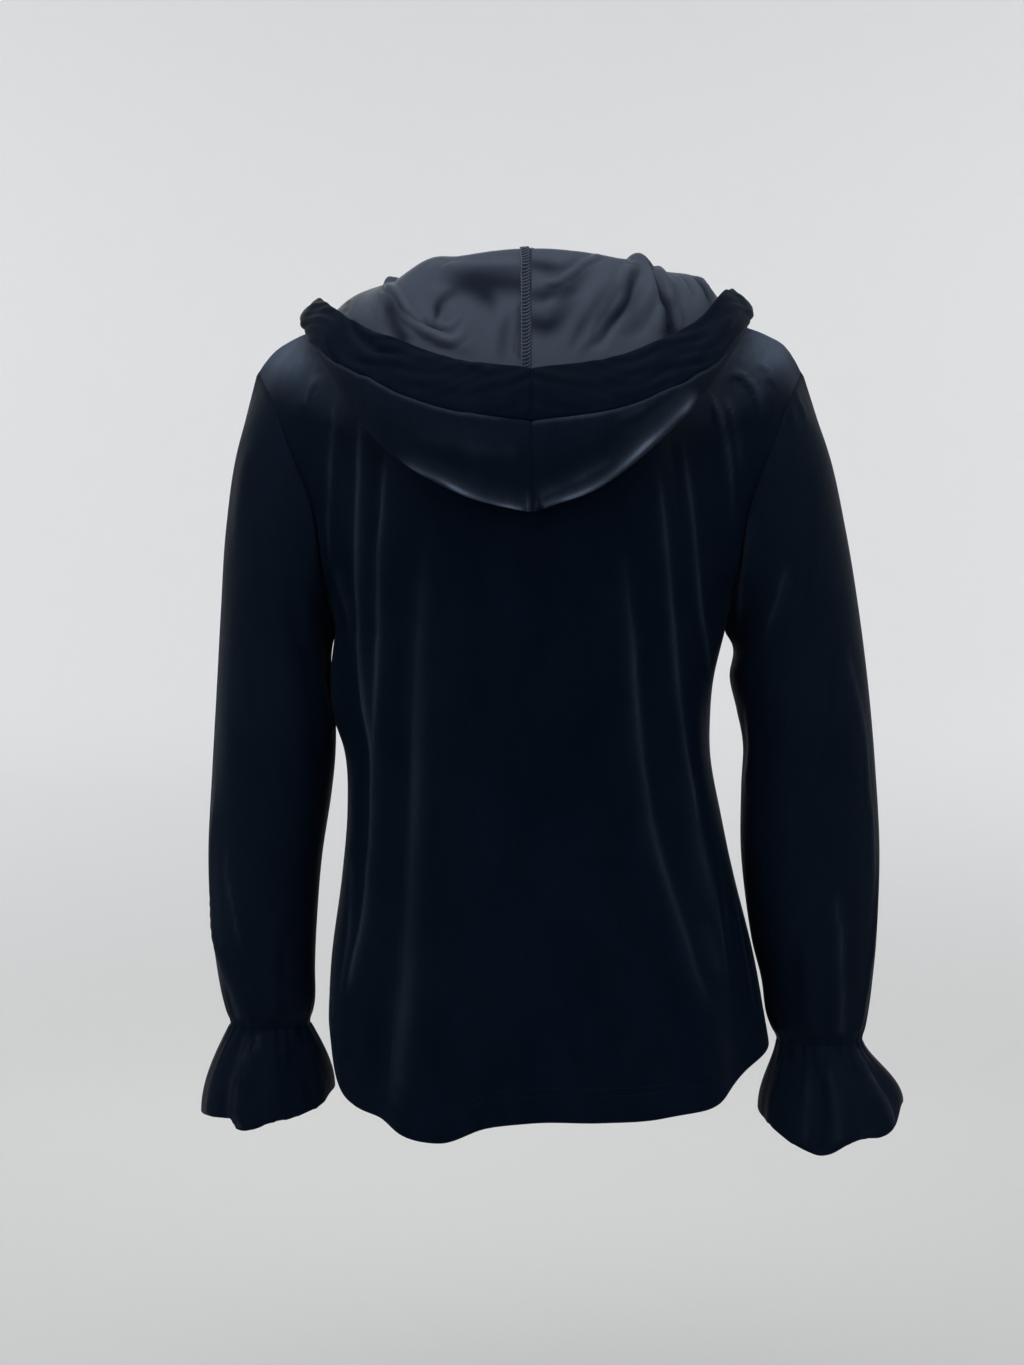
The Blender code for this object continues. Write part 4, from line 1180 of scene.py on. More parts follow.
@dataclass
class Torso:
    """The back and the two fronts."""

    shape: BodyShape
    finishes: Finishes
    hem_rows: int = 20
    low_rows: int = 80
    high_rows: int = 72
    middle_columns: int = 15
    fold_columns: int = 72
    side_columns: int = 15
    hem_height: float = 0.024
    hem_fold: float = 0.0010
    hem_stitches: Tuple[float, float] = (0.0185, 0.0235)  # how far above the hem each row is
    stitch_depth: float = 0.00018
    zip_stitches: float = 0.0065  # how far from the zip
    bust_across: float = 0.082
    bust_height: float = -0.262
    bust_reach: float = 0.044
    bust_depth: float = 0.013
    tape_clearance: float = 0.0004

    def shares(self) -> Tuple[Array, Array, Array]:
        """Where the rows and columns of a panel go.

        Returns:
            The rows below the underarm, those above it and the columns, all as shares.
        """
        near_hem = np.linspace(0, 0.085, self.hem_rows, endpoint=False)
        low = np.concatenate([near_hem, np.linspace(0.085, 1, self.low_rows, endpoint=False)])
        middle = np.linspace(0, 0.20, self.middle_columns, endpoint=False)
        folded = np.linspace(0.20, 0.78, self.fold_columns, endpoint=False)
        columns = np.concatenate([middle, folded, np.linspace(0.78, 1, self.side_columns + 1)])
        return low, np.linspace(0, 1, self.high_rows + 1), columns

    def long_folds(self, face: Face) -> Tuple[Row, ...]:
        """The folds that the solids have too: top and low ends, width and height, in metres."""
        if face is Face.BACK:
            return (
                (0.112, -0.200, 0.138, -0.560, 0.014, 0.005),
                (0.082, -0.300, 0.093, -0.690, 0.016, 0.007),
                (-0.070, -0.250, -0.130, -0.600, 0.015, 0.006),
                (-0.100, -0.190, -0.134, -0.480, 0.014, 0.005),
                (0.050, -0.480, 0.034, -0.690, 0.020, -0.004),
                (-0.150, -0.420, -0.170, -0.640, 0.016, -0.004),
            )
        return (
            (0.075, -0.300, 0.060, -0.660, 0.018, 0.006),
            (0.120, -0.260, 0.128, -0.620, 0.015, 0.005),
            (0.097, -0.420, 0.095, -0.660, 0.014, -0.004),
            (0.125, -0.120, 0.090, -0.210, 0.016, 0.003),
        )

    def half(self, face: Face, side: Side) -> Cloth:
        """Half a panel with its long folds and bust.

        Args:
            face: Back or front.
            side: Which half.

        Returns:
            The cloth, from the middle to the side seam and from hem to shoulder.
        """
        low, high, columns = self.shares()
        points = self.shape.half(face, side, low, high, columns)
        cloth = Cloth(points, points[..., [0, 2]] * 1000)
        cloth.face_from(np.array([0.0, 0.0, -0.3]))
        across = points[..., 0] * (side.sign if face is Face.FRONT else 1.0)
        lift = np.zeros(across.shape)
        for top_x, top_z, low_x, low_z, width, height in self.long_folds(face):
            share = np.clip((points[..., 2] - top_z) / (low_z - top_z), 0, 1)
            grow = np.sin(np.clip(share * 1.6, 0, 1) * math.pi / 2) ** 2
            lift += height * grow * bump((across - top_x - (low_x - top_x) * share) / width)
        if face is Face.FRONT:
            away = np.hypot(np.abs(across) - self.bust_across, points[..., 2] - self.bust_height)
            lift = lift + self.bust_depth * bump(away / self.bust_reach)
            lift *= 1 - bump((np.abs(points[..., 0]) - self.shape.zip_gap) / 0.030)
        keep = ramp(cloth.across_distance(True), 0, 0.012)
        keep[len(low):] *= ramp((1 - high) * 0.16, 0, 0.016)[:, None]
        cloth.points = points + unit(cloth.normals() * np.array([1.0, 1.0, 0.0])) * (lift * keep)[..., None]
        return cloth

    def thickness(self, cloth: Cloth) -> Array:
        """The wall's thickness: one layer, and a turned hem below."""
        return self.shape.cloth + np.clip((self.hem_height - lengths(cloth.points)) / 0.004, 0, 1) * self.hem_fold

    def crease(self, cloth: Cloth, creases: Sequence[Crease], seams: Sequence[Array]) -> None:
        """Folds a panel by its creases, then dips its seams and its hem.

        Args:
            cloth: The panel.
            creases: Its creases.
            seams: How far each point is from each of its seams.
        """
        from_top = cloth.from_last_row()
        keep = ramp(from_top, 0, 0.012)
        for distance in seams:
            keep = keep * ramp(distance, 0, 0.009)
        cloth.fold(creases, keep)
        for distance in (*seams, from_top):
            cloth.sink_seams(distance)
        from_hem = lengths(cloth.points)
        low, high = self.hem_stitches
        groove = self.stitch_depth * (bump((from_hem - low) / 0.0012) + bump((from_hem - high) / 0.0012))
        swell = self.stitch_depth * ramp(from_hem, 0, 0.004) * ramp(-from_hem, -0.018, -0.014)
        cloth.points = cloth.points + cloth.normals() * (swell - groove)[..., None]

    def stitches(self, name: str, points: Array, out: Array, distance: float) -> bpy.types.Object:
        """A row of stitches along an edge.

        Args:
            name: Its name.
            points: The panel, with the edge as its first row.
            out: The outward direction at each point.
            distance: How far from the edge the row is.

        Returns:
            The row.
        """
        gone, at = lengths(points), np.full(points.shape[1], distance)
        line, way = (resample(grid, gone, at, at, np.zeros(1))[0] for grid in (points, out))
        return Stitching(name).build(line, way, self.finishes.thread)

    def hem_stitching(self, name: str, cloth: Cloth) -> List[bpy.types.Object]:
        """The rows of stitches above a panel's hem, numbered from the hem up."""
        out = cloth.normals()
        return [
            self.stitches(f"{name}_{number}", cloth.points, out, distance)
            for number, distance in enumerate(self.hem_stitches, 1)
        ]

    def build_back(self) -> Cloth:
        """Makes the back in one piece from side seam to side seam.

        Returns:
            Its outer face, for what lies on it.
        """
        left, right = self.half(Face.BACK, Side.LEFT), self.half(Face.BACK, Side.RIGHT)
        points = np.concatenate([right.points[:, :0:-1], left.points], axis=1)
        cloth = Cloth(points, points[..., [0, 2]] * 1000)
        cloth.face_from(np.array([0.0, 0.0, -0.3]))
        seams = (cloth.across_distance(True), cloth.across_distance(False))
        self.crease(cloth, BACK_CREASES, seams)
        # painted highlight where the back faces up
        cloth.paint_light_on_tops(0.75)
        panel = Wall("back_panel", cloth, self.thickness(cloth)).build(self.finishes.velvet, self.finishes.reverse)
        settle(panel, "back")
        rows = self.hem_stitching("back_hem_stitches", cloth)
        for row in rows:
            settle(row)
        return cloth

    def build_front(self, side: Side) -> Cloth:
        """Makes one front from the zip to its side seam.

        Args:
            side: Which front.

        Returns:
            Its outer face.
        """
        cloth = self.half(Face.FRONT, side)
        # the right front's creases are nearer the zip, lower and flatter
        shift, drop, share = (1.0, 0, 1) if side is Side.LEFT else (0.94, 9, 0.88)
        creases = [
            Crease(tuple((x * side.sign * (1 if x < 20 else shift), z - drop) for x, z in c.path),
                   c.width, c.height * share, c.fold, c.start, c.end, c.lean * side.sign, c.painted_light)
            for c in FRONT_CREASES
        ]
        self.crease(cloth, creases, (cloth.across_distance(True),))
        from_zip = cloth.across_distance(False)
        turned = 0.0007 * np.clip(1 - from_zip / 0.0022, 0, 1) ** 2
        edge = turned + 0.0005 * bump((from_zip - self.zip_stitches) / 0.0012)
        cloth.points = cloth.points - cloth.normals() * edge[..., None]
        tape = tape_line()
        ahead = np.interp(cloth.points[..., 2], tape[:, 1], tape[:, 0]) - self.shape.cloth - self.tape_clearance
        past = np.maximum(cloth.points[..., 1] - ahead, 0) * ramp(-np.abs(cloth.points[..., 0]), -0.030, -0.016)
        cloth.points[..., 1] -= past
        LOG.info("front_panel_%s: moved up to %.4f m off the zip tape", side.value, float(past.max()))
        # painted highlight where the front faces up
        cloth.paint_light_on_tops(0.75)
        panel = Wall(f"front_panel_{side.value}", cloth, self.thickness(cloth)).build(
            self.finishes.velvet, self.finishes.reverse
        )
        settle(panel, f"front_{side.value}")
        rows = self.hem_stitching(f"front_hem_stitches_{side.value}", cloth)
        across, out = np.swapaxes(cloth.points, 0, 1), np.swapaxes(cloth.normals(), 0, 1)
        rows.append(self.stitches(f"zip_stitches_{side.value}", across, out, self.zip_stitches))
        for row in rows:
            settle(row)
        return cloth


# ---------------------------------------------------------------------------------------- sleeves

LEFT_SLEEVE_RINGS = (
    # outer_x, outer_z, inner_x, inner_z, back, front
    (0.2330, -0.134, 0.1590, -0.298, 0.062, 0.058),
    (0.2424, -0.198, 0.1585, -0.320, 0.060, 0.050),
    (0.2465, -0.262, 0.1556, -0.346, 0.058, 0.042),
    (0.2500, -0.326, 0.1556, -0.376, 0.055, 0.036),
    (0.2536, -0.390, 0.1590, -0.410, 0.052, 0.034),
    (0.2568, -0.454, 0.1665, -0.460, 0.048, 0.036),
    (0.2550, -0.508, 0.1705, -0.510, 0.042, 0.038),
    (0.2505, -0.545, 0.1720, -0.545, 0.036, 0.036),
    (0.2455, -0.572, 0.1720, -0.572, 0.031, 0.033),
    (0.2392, -0.592, 0.1760, -0.592, 0.026, 0.028),
)
RIGHT_SLEEVE_RINGS = (
    (0.2370, -0.134, 0.1630, -0.294, 0.062, 0.058),
    (0.2515, -0.198, 0.1600, -0.316, 0.060, 0.050),
    (0.2620, -0.262, 0.1655, -0.342, 0.058, 0.044),
    (0.2700, -0.326, 0.1705, -0.370, 0.055, 0.040),
    (0.2755, -0.390, 0.1690, -0.405, 0.053, 0.040),
    (0.2788, -0.454, 0.1690, -0.458, 0.050, 0.040),
    (0.2768, -0.518, 0.1765, -0.520, 0.044, 0.040),
    (0.2735, -0.556, 0.1850, -0.556, 0.038, 0.037),
    (0.2700, -0.584, 0.1890, -0.584, 0.032, 0.033),
    (0.2655, -0.605, 0.1975, -0.605, 0.027, 0.027),
)

# Creases on a sleeve, as (degrees round it, z in millimetres). 0 is its outer line, 90 is straight
# back, 180 its inner line and 270 the front.
LEFT_SLEEVE_CREASES = (
    Crease(((34, -380), (32, -450), (34, -520), (40, -570)), 6.0, 2.4, Fold.ROLL, 0.3, 0.3),
    Crease(((44, -220), (43, -320), (42, -400), (40, -480), (44, -560)), 9.0, 0.8, Fold.ROLL, 0.3, 0.2, painted_light=0.13),
    Crease(((56, -445), (58, -473), (66, -503), (70, -530)), 2.8, 1.4, Fold.PRESS, 0.3, 0.3, painted_light=0.20),
    Crease(((12, -465), (20, -496), (34, -530), (48, -560), (54, -588)), 3.0, 1.8, Fold.PRESS, 0.3, 0.05, painted_light=0.26),
    Crease(((108, -500), (104, -550), (100, -588)), 5.5, 1.8, Fold.ROLL, 0.4, 0.05),
    Crease(((140, -300), (150, -340), (162, -372)), 7.0, 2.6, Fold.ROLL, 0.3, 0.3),
    Crease(((120, -250), (140, -290), (160, -318)), 7.0, 2.2, Fold.ROLL, 0.3, 0.3),
    Crease(((250, -280), (232, -310), (210, -332)), 7.0, 3.2, Fold.ROLL, 0.3, 0.3),
    Crease(((262, -330), (240, -356), (214, -372)), 7.0, 2.6, Fold.ROLL, 0.3, 0.3),
    Crease(((300, -400), (292, -470), (288, -550), (286, -588)), 7.0, 2.6, Fold.ROLL, 0.3, 0.05),
    Crease(((240, -420), (236, -500), (240, -588)), 7.0, 2.2, Fold.ROLL, 0.3, 0.05),
    Crease(((40, -120), (46, -170), (50, -230)), 9.0, 1.4, Fold.ROLL, 0.3, 0.5),
)
RIGHT_SLEEVE_CREASES = (
    Crease(((56, -290), (52, -316), (42, -355), (38, -419), (35, -465), (37, -520)), 3.2, 2.0, Fold.PRESS, 0.2, 0.3,
           painted_light=0.20),
    Crease(((24, -440), (26, -500), (34, -560), (40, -600)), 4.0, 2.0, Fold.PRESS, 0.35, 0.1),
    Crease(((77, -480), (75, -507), (72, -552), (70, -600)), 3.2, 1.8, Fold.PRESS, 0.3, 0.05, painted_light=0.24),
    Crease(((110, -500), (106, -560), (104, -600)), 5.5, 1.8, Fold.ROLL, 0.4, 0.05),
    Crease(((118, -180), (134, -225), (150, -262), (160, -284)), 3.4, 2.4, Fold.PRESS, 0.2, 0.4, painted_light=0.26),
    Crease(((96, -225), (112, -262), (128, -300)), 3.6, 1.8, Fold.PRESS, 0.3, 0.5, painted_light=0.20),
    Crease(((150, -330), (158, -372), (166, -410)), 6.0, 1.8, Fold.ROLL, 0.3, 0.4),
    Crease(((250, -270), (232, -300), (208, -322)), 7.0, 3.2, Fold.ROLL, 0.3, 0.3),
    Crease(((262, -318), (240, -346), (212, -364)), 7.0, 2.6, Fold.ROLL, 0.3, 0.3),
    Crease(((300, -400), (294, -480), (290, -600)), 7.0, 2.6, Fold.ROLL, 0.3, 0.05),
    Crease(((236, -430), (234, -520), (238, -600)), 7.0, 2.2, Fold.ROLL, 0.3, 0.05),
    Crease(((52, -84), (60, -104), (70, -124)), 3.6, 1.8, Fold.PRESS, 0.1, 0.5),
    Crease(((36, -84), (44, -110), (52, -138)), 3.6, 1.6, Fold.PRESS, 0.1, 0.5),
    Crease(((24, -82), (30, -104), (36, -126)), 3.2, 1.4, Fold.PRESS, 0.1, 0.5),
)

# Creases on a cuff, placed like those of its sleeve.
LEFT_CUFF_CREASES = (
    Crease(((76, -596), (71, -612), (68, -630), (67, -650), (68, -672)), 3.4, 4.6, Fold.TUCK, 0.12, 0.02, 0.0, 0.28),
    Crease(((80, -596), (78, -606), (77, -614)), 2.2, 1.6, Fold.ROLL, 0.1, 0.4, 0.0, 0.22),
    Crease(((85, -596), (84, -604), (83, -612)), 2.2, 1.4, Fold.ROLL, 0.1, 0.4, 0.0, 0.18),
    Crease(((100, -600), (104, -625), (108, -660)), 7.0, 1.8, Fold.ROLL, 0.3, 0.05),
    Crease(((128, -600), (134, -622), (138, -652)), 6.0, -1.8, Fold.ROLL, 0.3, 0.05),
    Crease(((40, -600), (34, -625), (32, -660)), 5.0, 0.6, Fold.ROLL, 0.3, 0.05),
    Crease(((240, -600), (236, -630), (234, -655)), 5.0, 2.4, Fold.ROLL, 0.3, 0.05),
    Crease(((300, -600), (304, -630), (306, -660)), 5.0, 2.4, Fold.ROLL, 0.3, 0.05),
)
RIGHT_CUFF_CREASES = (
    Crease(((42, -608), (44, -622), (44, -640), (42, -668)), 3.0, 3.0, Fold.PRESS, 0.1, 0.05, 0.0, 0.34),
    Crease(((88, -616), (90, -640), (92, -676)), 5.0, 1.8, Fold.ROLL, 0.3, 0.05, 0.0, 0.10),
    Crease(((112, -616), (116, -645), (120, -680)), 5.0, 1.8, Fold.ROLL, 0.3, 0.05, 0.0, 0.10),
    Crease(((100, -620), (103, -645), (106, -680)), 4.0, -1.6, Fold.ROLL, 0.3, 0.05),
    Crease(((66, -616), (66, -640), (64, -672)), 6.0, -2.0, Fold.ROLL, 0.3, 0.05),
    Crease(((150, -616), (152, -635), (154, -668)), 5.0, 1.4, Fold.ROLL, 0.3, 0.05),
    Crease(((240, -614), (236, -635), (234, -655)), 5.0, 2.4, Fold.ROLL, 0.3, 0.05),
    Crease(((300, -614), (304, -635), (306, -652)), 5.0, 2.4, Fold.ROLL, 0.3, 0.05),
)
RIGHT_CUFF_TURN: Row = (0, 20, 40, 55, 70, 85, 100, 107, 118, 130, 145, 160, 180, 225, 270, 315, 360)
RIGHT_CUFF_HEM_Z: Row = (-0.654, -0.6545, -0.6684, -0.6733, -0.673, -0.6762, -0.6842, -0.6858, -0.6838, -0.679, -0.6713,
                         -0.666, -0.662, -0.656, -0.655, -0.652, -0.654)


@dataclass
class Sleeve:
    """A long sleeve, gathered at the wrist, with its flared cuff below."""

    shape: BodyShape
    finishes: Finishes
    side: Side
    rings: Tuple[Row, ...]
    creases: Tuple[Crease, ...]
    cuff_creases: Tuple[Crease, ...]
    rows: int = 176
    columns: int = 108
    gathers: int = 22
    # the cuff
    cuff_middle_x: float = 0.2095
    cuff_half_width: float = 0.0530
    cuff_half_depth: float = 0.050
    cuff_turn: Row = (0, 20, 58, 66, 73, 82, 97, 116, 135, 150, 165, 180, 225, 270, 315, 360)
    cuff_hem_z: Row = (-0.662, -0.6605, -0.658, -0.658, -0.6655, -0.665, -0.660, -0.6585, -0.654, -0.650, -0.6447,
                       -0.6436, -0.648, -0.654, -0.659, -0.662)
    cuff_flare: float = 1.0
    cuff_wave_depth: float = 0.0030
    cuff_rows: int = 46
    cuff_columns: int = 176

    def flip(self) -> Array:
        """What the left-hand tables are multiplied by for this sleeve."""
        return np.array([self.side.sign, 1.0, 1.0])

    def turns(self, columns: int) -> Array:
        """The angle of each column round the sleeve."""
        return np.arange(columns) * 2 * math.pi / columns

    def sleeve_form(self) -> Cloth:
        """The sleeve's plain shape.

        Returns:
            The cloth, from its armhole seam to the wrist.
        """
        turn = self.turns(self.columns)
        share = np.where(turn <= math.pi, 1 - turn / math.pi, turn / math.pi - 1)
        back, front = self.shape.armhole(Face.BACK, share), self.shape.armhole(Face.FRONT, share)
        keys = [np.where((turn <= math.pi)[:, None], back, front)]
        for outer_x, outer_z, inner_x, inner_z, back_y, front_y in self.rings:
            outer, inner = np.array([outer_x, 0, outer_z]), np.array([inner_x, 0, inner_z])
            ring = (outer + inner) / 2 + np.cos(turn)[:, None] * (outer - inner) / 2
            ring[:, 1] = np.sin(turn) * np.where(np.sin(turn) > 0, back_y, front_y)
            keys.append(ring)
        places = np.linspace(0, len(keys) - 1, self.rows + 1)
        grid = smooth(np.arange(len(keys)), np.array(keys), places) * self.flip()
        degrees = np.broadcast_to(np.degrees(turn), grid.shape[:2])
        cloth = Cloth(grid, np.stack([degrees, grid[..., 2] * 1000], axis=2), (0.8, 1.0), closed=True)
        cloth.face_from(grid.mean(axis=1, keepdims=True))
        return cloth

    def build_sleeve(self) -> None:
        """Makes the sleeve."""
        cloth = self.sleeve_form()
        from_top, from_wrist = lengths(cloth.points), cloth.from_last_row()
        cloth.fold(self.creases, ramp(from_top, 0, 0.008))
        angle = np.radians(cloth.chart[..., 0])
        ripple = np.cos(self.gathers * angle) + 0.5 * np.cos((self.gathers + 9) * angle + 1.3)
        uneven = 0.7 + 0.3 * np.sin(5 * angle + 0.7)
        gather = 0.0006 * ripple * uneven * ramp(-from_wrist, -0.034, -0.004)
        elastic = -0.0006 * bump((from_wrist - 0.004) / 0.004)
        cloth.points = cloth.points + cloth.normals() * (gather + elastic)[..., None]
        cloth.sink_seams(from_top)
        # a little painted sheen all over the sleeve
        cloth.nap += 0.035
        sleeve = Wall(f"sleeve_cloth_{self.side.value}", cloth, self.shape.cloth).build(
            self.finishes.velvet, self.finishes.reverse
        )
        settle(sleeve, f"sleeve_{self.side.value}")

    def cuff_form(self) -> Cloth:
        """The flared cuff's plain shape.

        Returns:
            The cloth, from the wrist seam to its wavy hem.
        """
        turn = self.turns(self.cuff_columns)
        outer_x, wrist_z, inner_x, _, back_y, front_y = self.rings[-1]
        deep = np.where(np.sin(turn) > 0, back_y, front_y)
        wrist = np.stack(
            [(outer_x + inner_x) / 2 + np.cos(turn) * (outer_x - inner_x) / 2, np.sin(turn) * deep,
             np.full_like(turn, wrist_z)], axis=1)
        hem = np.stack(
            [self.cuff_middle_x + self.cuff_half_width * np.cos(turn), self.cuff_half_depth * np.sin(turn),
             smooth(self.cuff_turn, self.cuff_hem_z, np.degrees(turn))], axis=1)
        away = unit((hem - hem.mean(axis=0)) * np.array([1.0, 1.0, 0.0]))
        wave = (0.6 * np.cos(7 * turn + 1.2) + 0.4 * np.cos(4 * turn + 0.5)) * (0.35 + 0.65 * np.sin(turn) ** 2)
        grid = []
        for t in np.linspace(0, 1, self.cuff_rows + 1):
            flare = math.sin(t * math.pi / 2) ** self.cuff_flare
            ring = wrist + (hem - wrist) * np.array([flare, flare, t])
            gather = 0.0007 * (np.cos(self.gathers * turn) + 0.5 * np.cos((self.gathers + 9) * turn + 1.3))
            fade = (1 - t) ** 3
            grid.append(ring + away * (wave * self.cuff_wave_depth * t + gather * fade)[:, None])
        points = np.array(grid) * self.flip()
        degrees = np.broadcast_to(np.degrees(turn), points.shape[:2])
        cloth = Cloth(points, np.stack([degrees, points[..., 2] * 1000], axis=2), (0.8, 1.0), closed=True)
        cloth.face_from(points.mean(axis=1, keepdims=True))
        return cloth

    def build_cuff(self) -> None:
        """Makes the cuff."""
        cloth = self.cuff_form()
        cloth.fold(self.cuff_creases, ramp(lengths(cloth.points), 0, 0.006))
        cloth.sink_seams(lengths(cloth.points), 0.0006, 0.003)
        # a little painted sheen all over the cuff, more on the right one
        cloth.nap += 0.020 if self.side is Side.LEFT else 0.045
        from_hem = cloth.from_last_row()
        thick = self.shape.cloth + np.clip((0.0065 - from_hem) / 0.0015, 0, 1) * 0.0006
        cuff = Wall(f"cuff_cloth_{self.side.value}", cloth, thick).build(self.finishes.velvet, self.finishes.reverse)
        settle(cuff, f"ruffle_{self.side.value}")


# ------------------------------------------------------------------------------------------- hood

# Creases on a hood half, as (degrees round the neck, millimetres from the neck seam). A height
# below 0 stands out from the smooth reverse.
LEFT_HOOD_CREASES = (
    Crease(((78, 18), (74, 30), (70.9, 38), (64, 52), (58.6, 65), (51.8, 79.5), (44.4, 90), (37.6, 98), (31.4, 104),
            (28.2, 102), (26.4, 93), (27.1, 80)), 3.0, -2.4, Fold.ROLL, 0.06, 0.3),
    Crease(((67, 47), (61, 59.5), (53, 77.6), (46.2, 85.7), (40.1, 90), (35.8, 93.4), (32.1, 92)), 2.2, 1.2, Fold.ROLL,
           0.2, 0.2, 0.0, 0.85),
    Crease(((37, 90.5), (32.7, 91.4), (30.2, 86.7), (29.6, 78)), 2.2, -1.0, Fold.ROLL, 0.2, 0.4),
    Crease(((38, 72), (37, 79), (37, 90)), 4.2, 0.9, Fold.ROLL, 0.3, 0.3),
    Crease(((77, 26), (70.9, 45.5), (64.7, 62.8), (59.2, 90)), 2.4, -2.0, Fold.ROLL, 0.1, 0.2),
    Crease(((60, 72), (56.7, 83), (51.8, 98), (46, 108)), 5.0, 1.6, Fold.ROLL, 0.3, 0.1),
    Crease(((50, 28), (45, 48), (40.1, 72)), 6.0, -1.0, Fold.ROLL, 0.2, 0.3),
    Crease(((44, 30), (39.5, 33.6), (20, 36.5), (2.5, 38)), 4.6, -1.3, Fold.ROLL, 0.2, 0.05),
    Crease(((81, 12), (77, 26), (72.5, 38)), 3.0, -2.6, Fold.ROLL, 0.2, 0.3),
    Crease(((5.6, 70), (6.2, 84), (6.8, 115)), 2.2, 0.4, Fold.ROLL, 0.3, 0.05, 0.0, 0.50),
    Crease(((84, 62), (80.2, 66.5), (74.6, 72.6)), 3.4, 0.8, Fold.ROLL, 0.3, 0.2, 0.0, 0.45),
    # the drape below the band
    Crease(((36, 236), (21, 268), (10, 278), (3, 284)), 8.0, 1.2, Fold.ROLL, 0.4, 0.1, 0.0, 0.08),
    Crease(((39, 204), (34, 214), (27, 228), (21, 234), (14, 237), (8, 239), (2, 241)), 7.0, 1.2, Fold.ROLL, 0.3,
           0.02, 0.0, 1.06),
    Crease(((33, 206), (27, 216), (20, 223), (13, 227), (8, 230)), 4.0, 0.8, Fold.ROLL, 0.4, 0.3, 0.0, 0.66),
    Crease(((22, 212), (16, 216), (10, 219), (4, 221)), 3.4, 0.6, Fold.ROLL, 0.4, 0.4, 0.0, 0.46),
    Crease(((1.2, 222), (1.2, 238), (1.2, 262)), 2.6, 0.4, Fold.ROLL, 0.3, 0.3, 0.0, 0.8),
    # creases of the band
    Crease(((66, 152), (58, 176), (50, 205)), 2.6, 1.2, painted_light=0.08),
    Crease(((60.4, 191), (50.6, 235), (40.7, 269)), 2.4, 1.2, painted_light=0.10),
    Crease(((54.3, 226), (43.8, 267), (37, 288)), 2.6, -1.3),
    Crease(((22, 330), (16, 337), (9.2, 341)), 2.2, 1.2, painted_light=0.10),
)
RIGHT_HOOD_CREASES = (
    Crease(((41, 20), (35.8, 26.2), (27.1, 35), (19.1, 46.3), (12.9, 53.4), (4.9, 54.5)), 2.4, -1.2, Fold.ROLL, 0.1,
           0.1),
    Crease(((20, 54), (16.6, 59), (11.1, 70.8), (4.9, 81)), 4.0, -1.2, Fold.ROLL, 0.2, 0.2),
    Crease(((53, 30), (49.3, 37.5), (41.3, 54.8), (33.3, 70.2), (26.5, 85.5), (21, 104), (15.4, 120)), 3.4, -1.8,
           Fold.ROLL, 0.12, 0.15),
    Crease(((43, 50), (38.8, 58.4), (30.8, 72.2), (25.3, 84.3), (20.3, 95.7), (18, 107), (13.6, 121)), 5.4, 1.0,
           Fold.ROLL, 0.2, 0.15),
    Crease(((58, 24), (55, 34), (49, 46), (43.8, 56.5), (35.8, 77.7), (28.4, 94), (24.7, 108)), 3.0, -1.6, Fold.ROLL,
           0.12, 0.2),
    Crease(((53, 36), (47.5, 49), (40.1, 72), (31.4, 89.4), (27.1, 103), (22.8, 114)), 4.0, 1.4, Fold.ROLL, 0.15, 0.15),
    Crease(((68, 10), (65, 20), (62, 30), (59.8, 40.3), (55, 54), (49.3, 67.1), (38.8, 91.7), (35, 106)), 5.0, -2.8,
           Fold.ROLL, 0.08, 0.2),
    Crease(((50, 58), (45, 71), (39.5, 89), (33.9, 105)), 5.0, 0.9, Fold.ROLL, 0.3, 0.15),
    Crease(((64, 34), (61, 46.2), (58, 65.1), (57, 77.2), (54.5, 89.6), (52.5, 101)), 4.0, 3.2, Fold.ROLL, 0.12, 0.03),
    Crease(((71, 28), (68, 40), (64.1, 54), (58, 75), (53, 95)), 3.0, -2.2, Fold.ROLL, 0.12, 0.1),
    Crease(((76, 38), (73.4, 48), (69.7, 63), (66, 79)), 2.4, -0.8, Fold.ROLL, 0.2, 0.2),
    Crease(((78, 40), (74.5, 54), (70.5, 70)), 3.4, 0.4, Fold.ROLL, 0.3, 0.3, 0.0, 0.35),
    Crease(((85, 44), (81, 57), (78.9, 65.3), (75, 76)), 3.4, 1.0, Fold.ROLL, 0.2, 0.2, 0.0, 0.8),
    Crease(((88, 48), (84, 60), (80, 73)), 2.4, -1.4, Fold.ROLL, 0.2, 0.2),
    # the drape below the band
    Crease(((47, 186), (42.5, 197), (38.2, 207), (33.3, 216), (29, 223), (22.8, 229), (19, 231), (12.3, 235),
            (8, 239), (2.5, 243)), 8.0, 1.5, Fold.ROLL, 0.15, 0.02, 0.0, 1.06),
    Crease(((24, 218), (17, 223), (10, 226), (4, 229)), 4.0, 0.6, Fold.ROLL, 0.5, 0.2, 0.0, 0.40),
    Crease(((24, 240), (16.6, 247), (9.9, 249), (2, 252)), 6.0, 1.0, Fold.ROLL, 0.3, 0.02, 0.0, 0.30),
    Crease(((21, 270), (25.3, 261), (33.9, 241), (42, 220)), 3.6, 1.2, Fold.ROLL, 0.3, 0.3, 0.0, 0.14),
    Crease(((1.2, 226), (1.2, 240), (1.2, 260)), 2.0, 0.3, Fold.ROLL, 0.3, 0.4, 0.0, 0.3),
    # creases of the band
    Crease(((68, 152), (58, 184), (50, 212)), 2.8, 1.0, painted_light=0.06),
    Crease(((52, 200), (40, 240), (28, 274)), 2.8, -0.9),
)
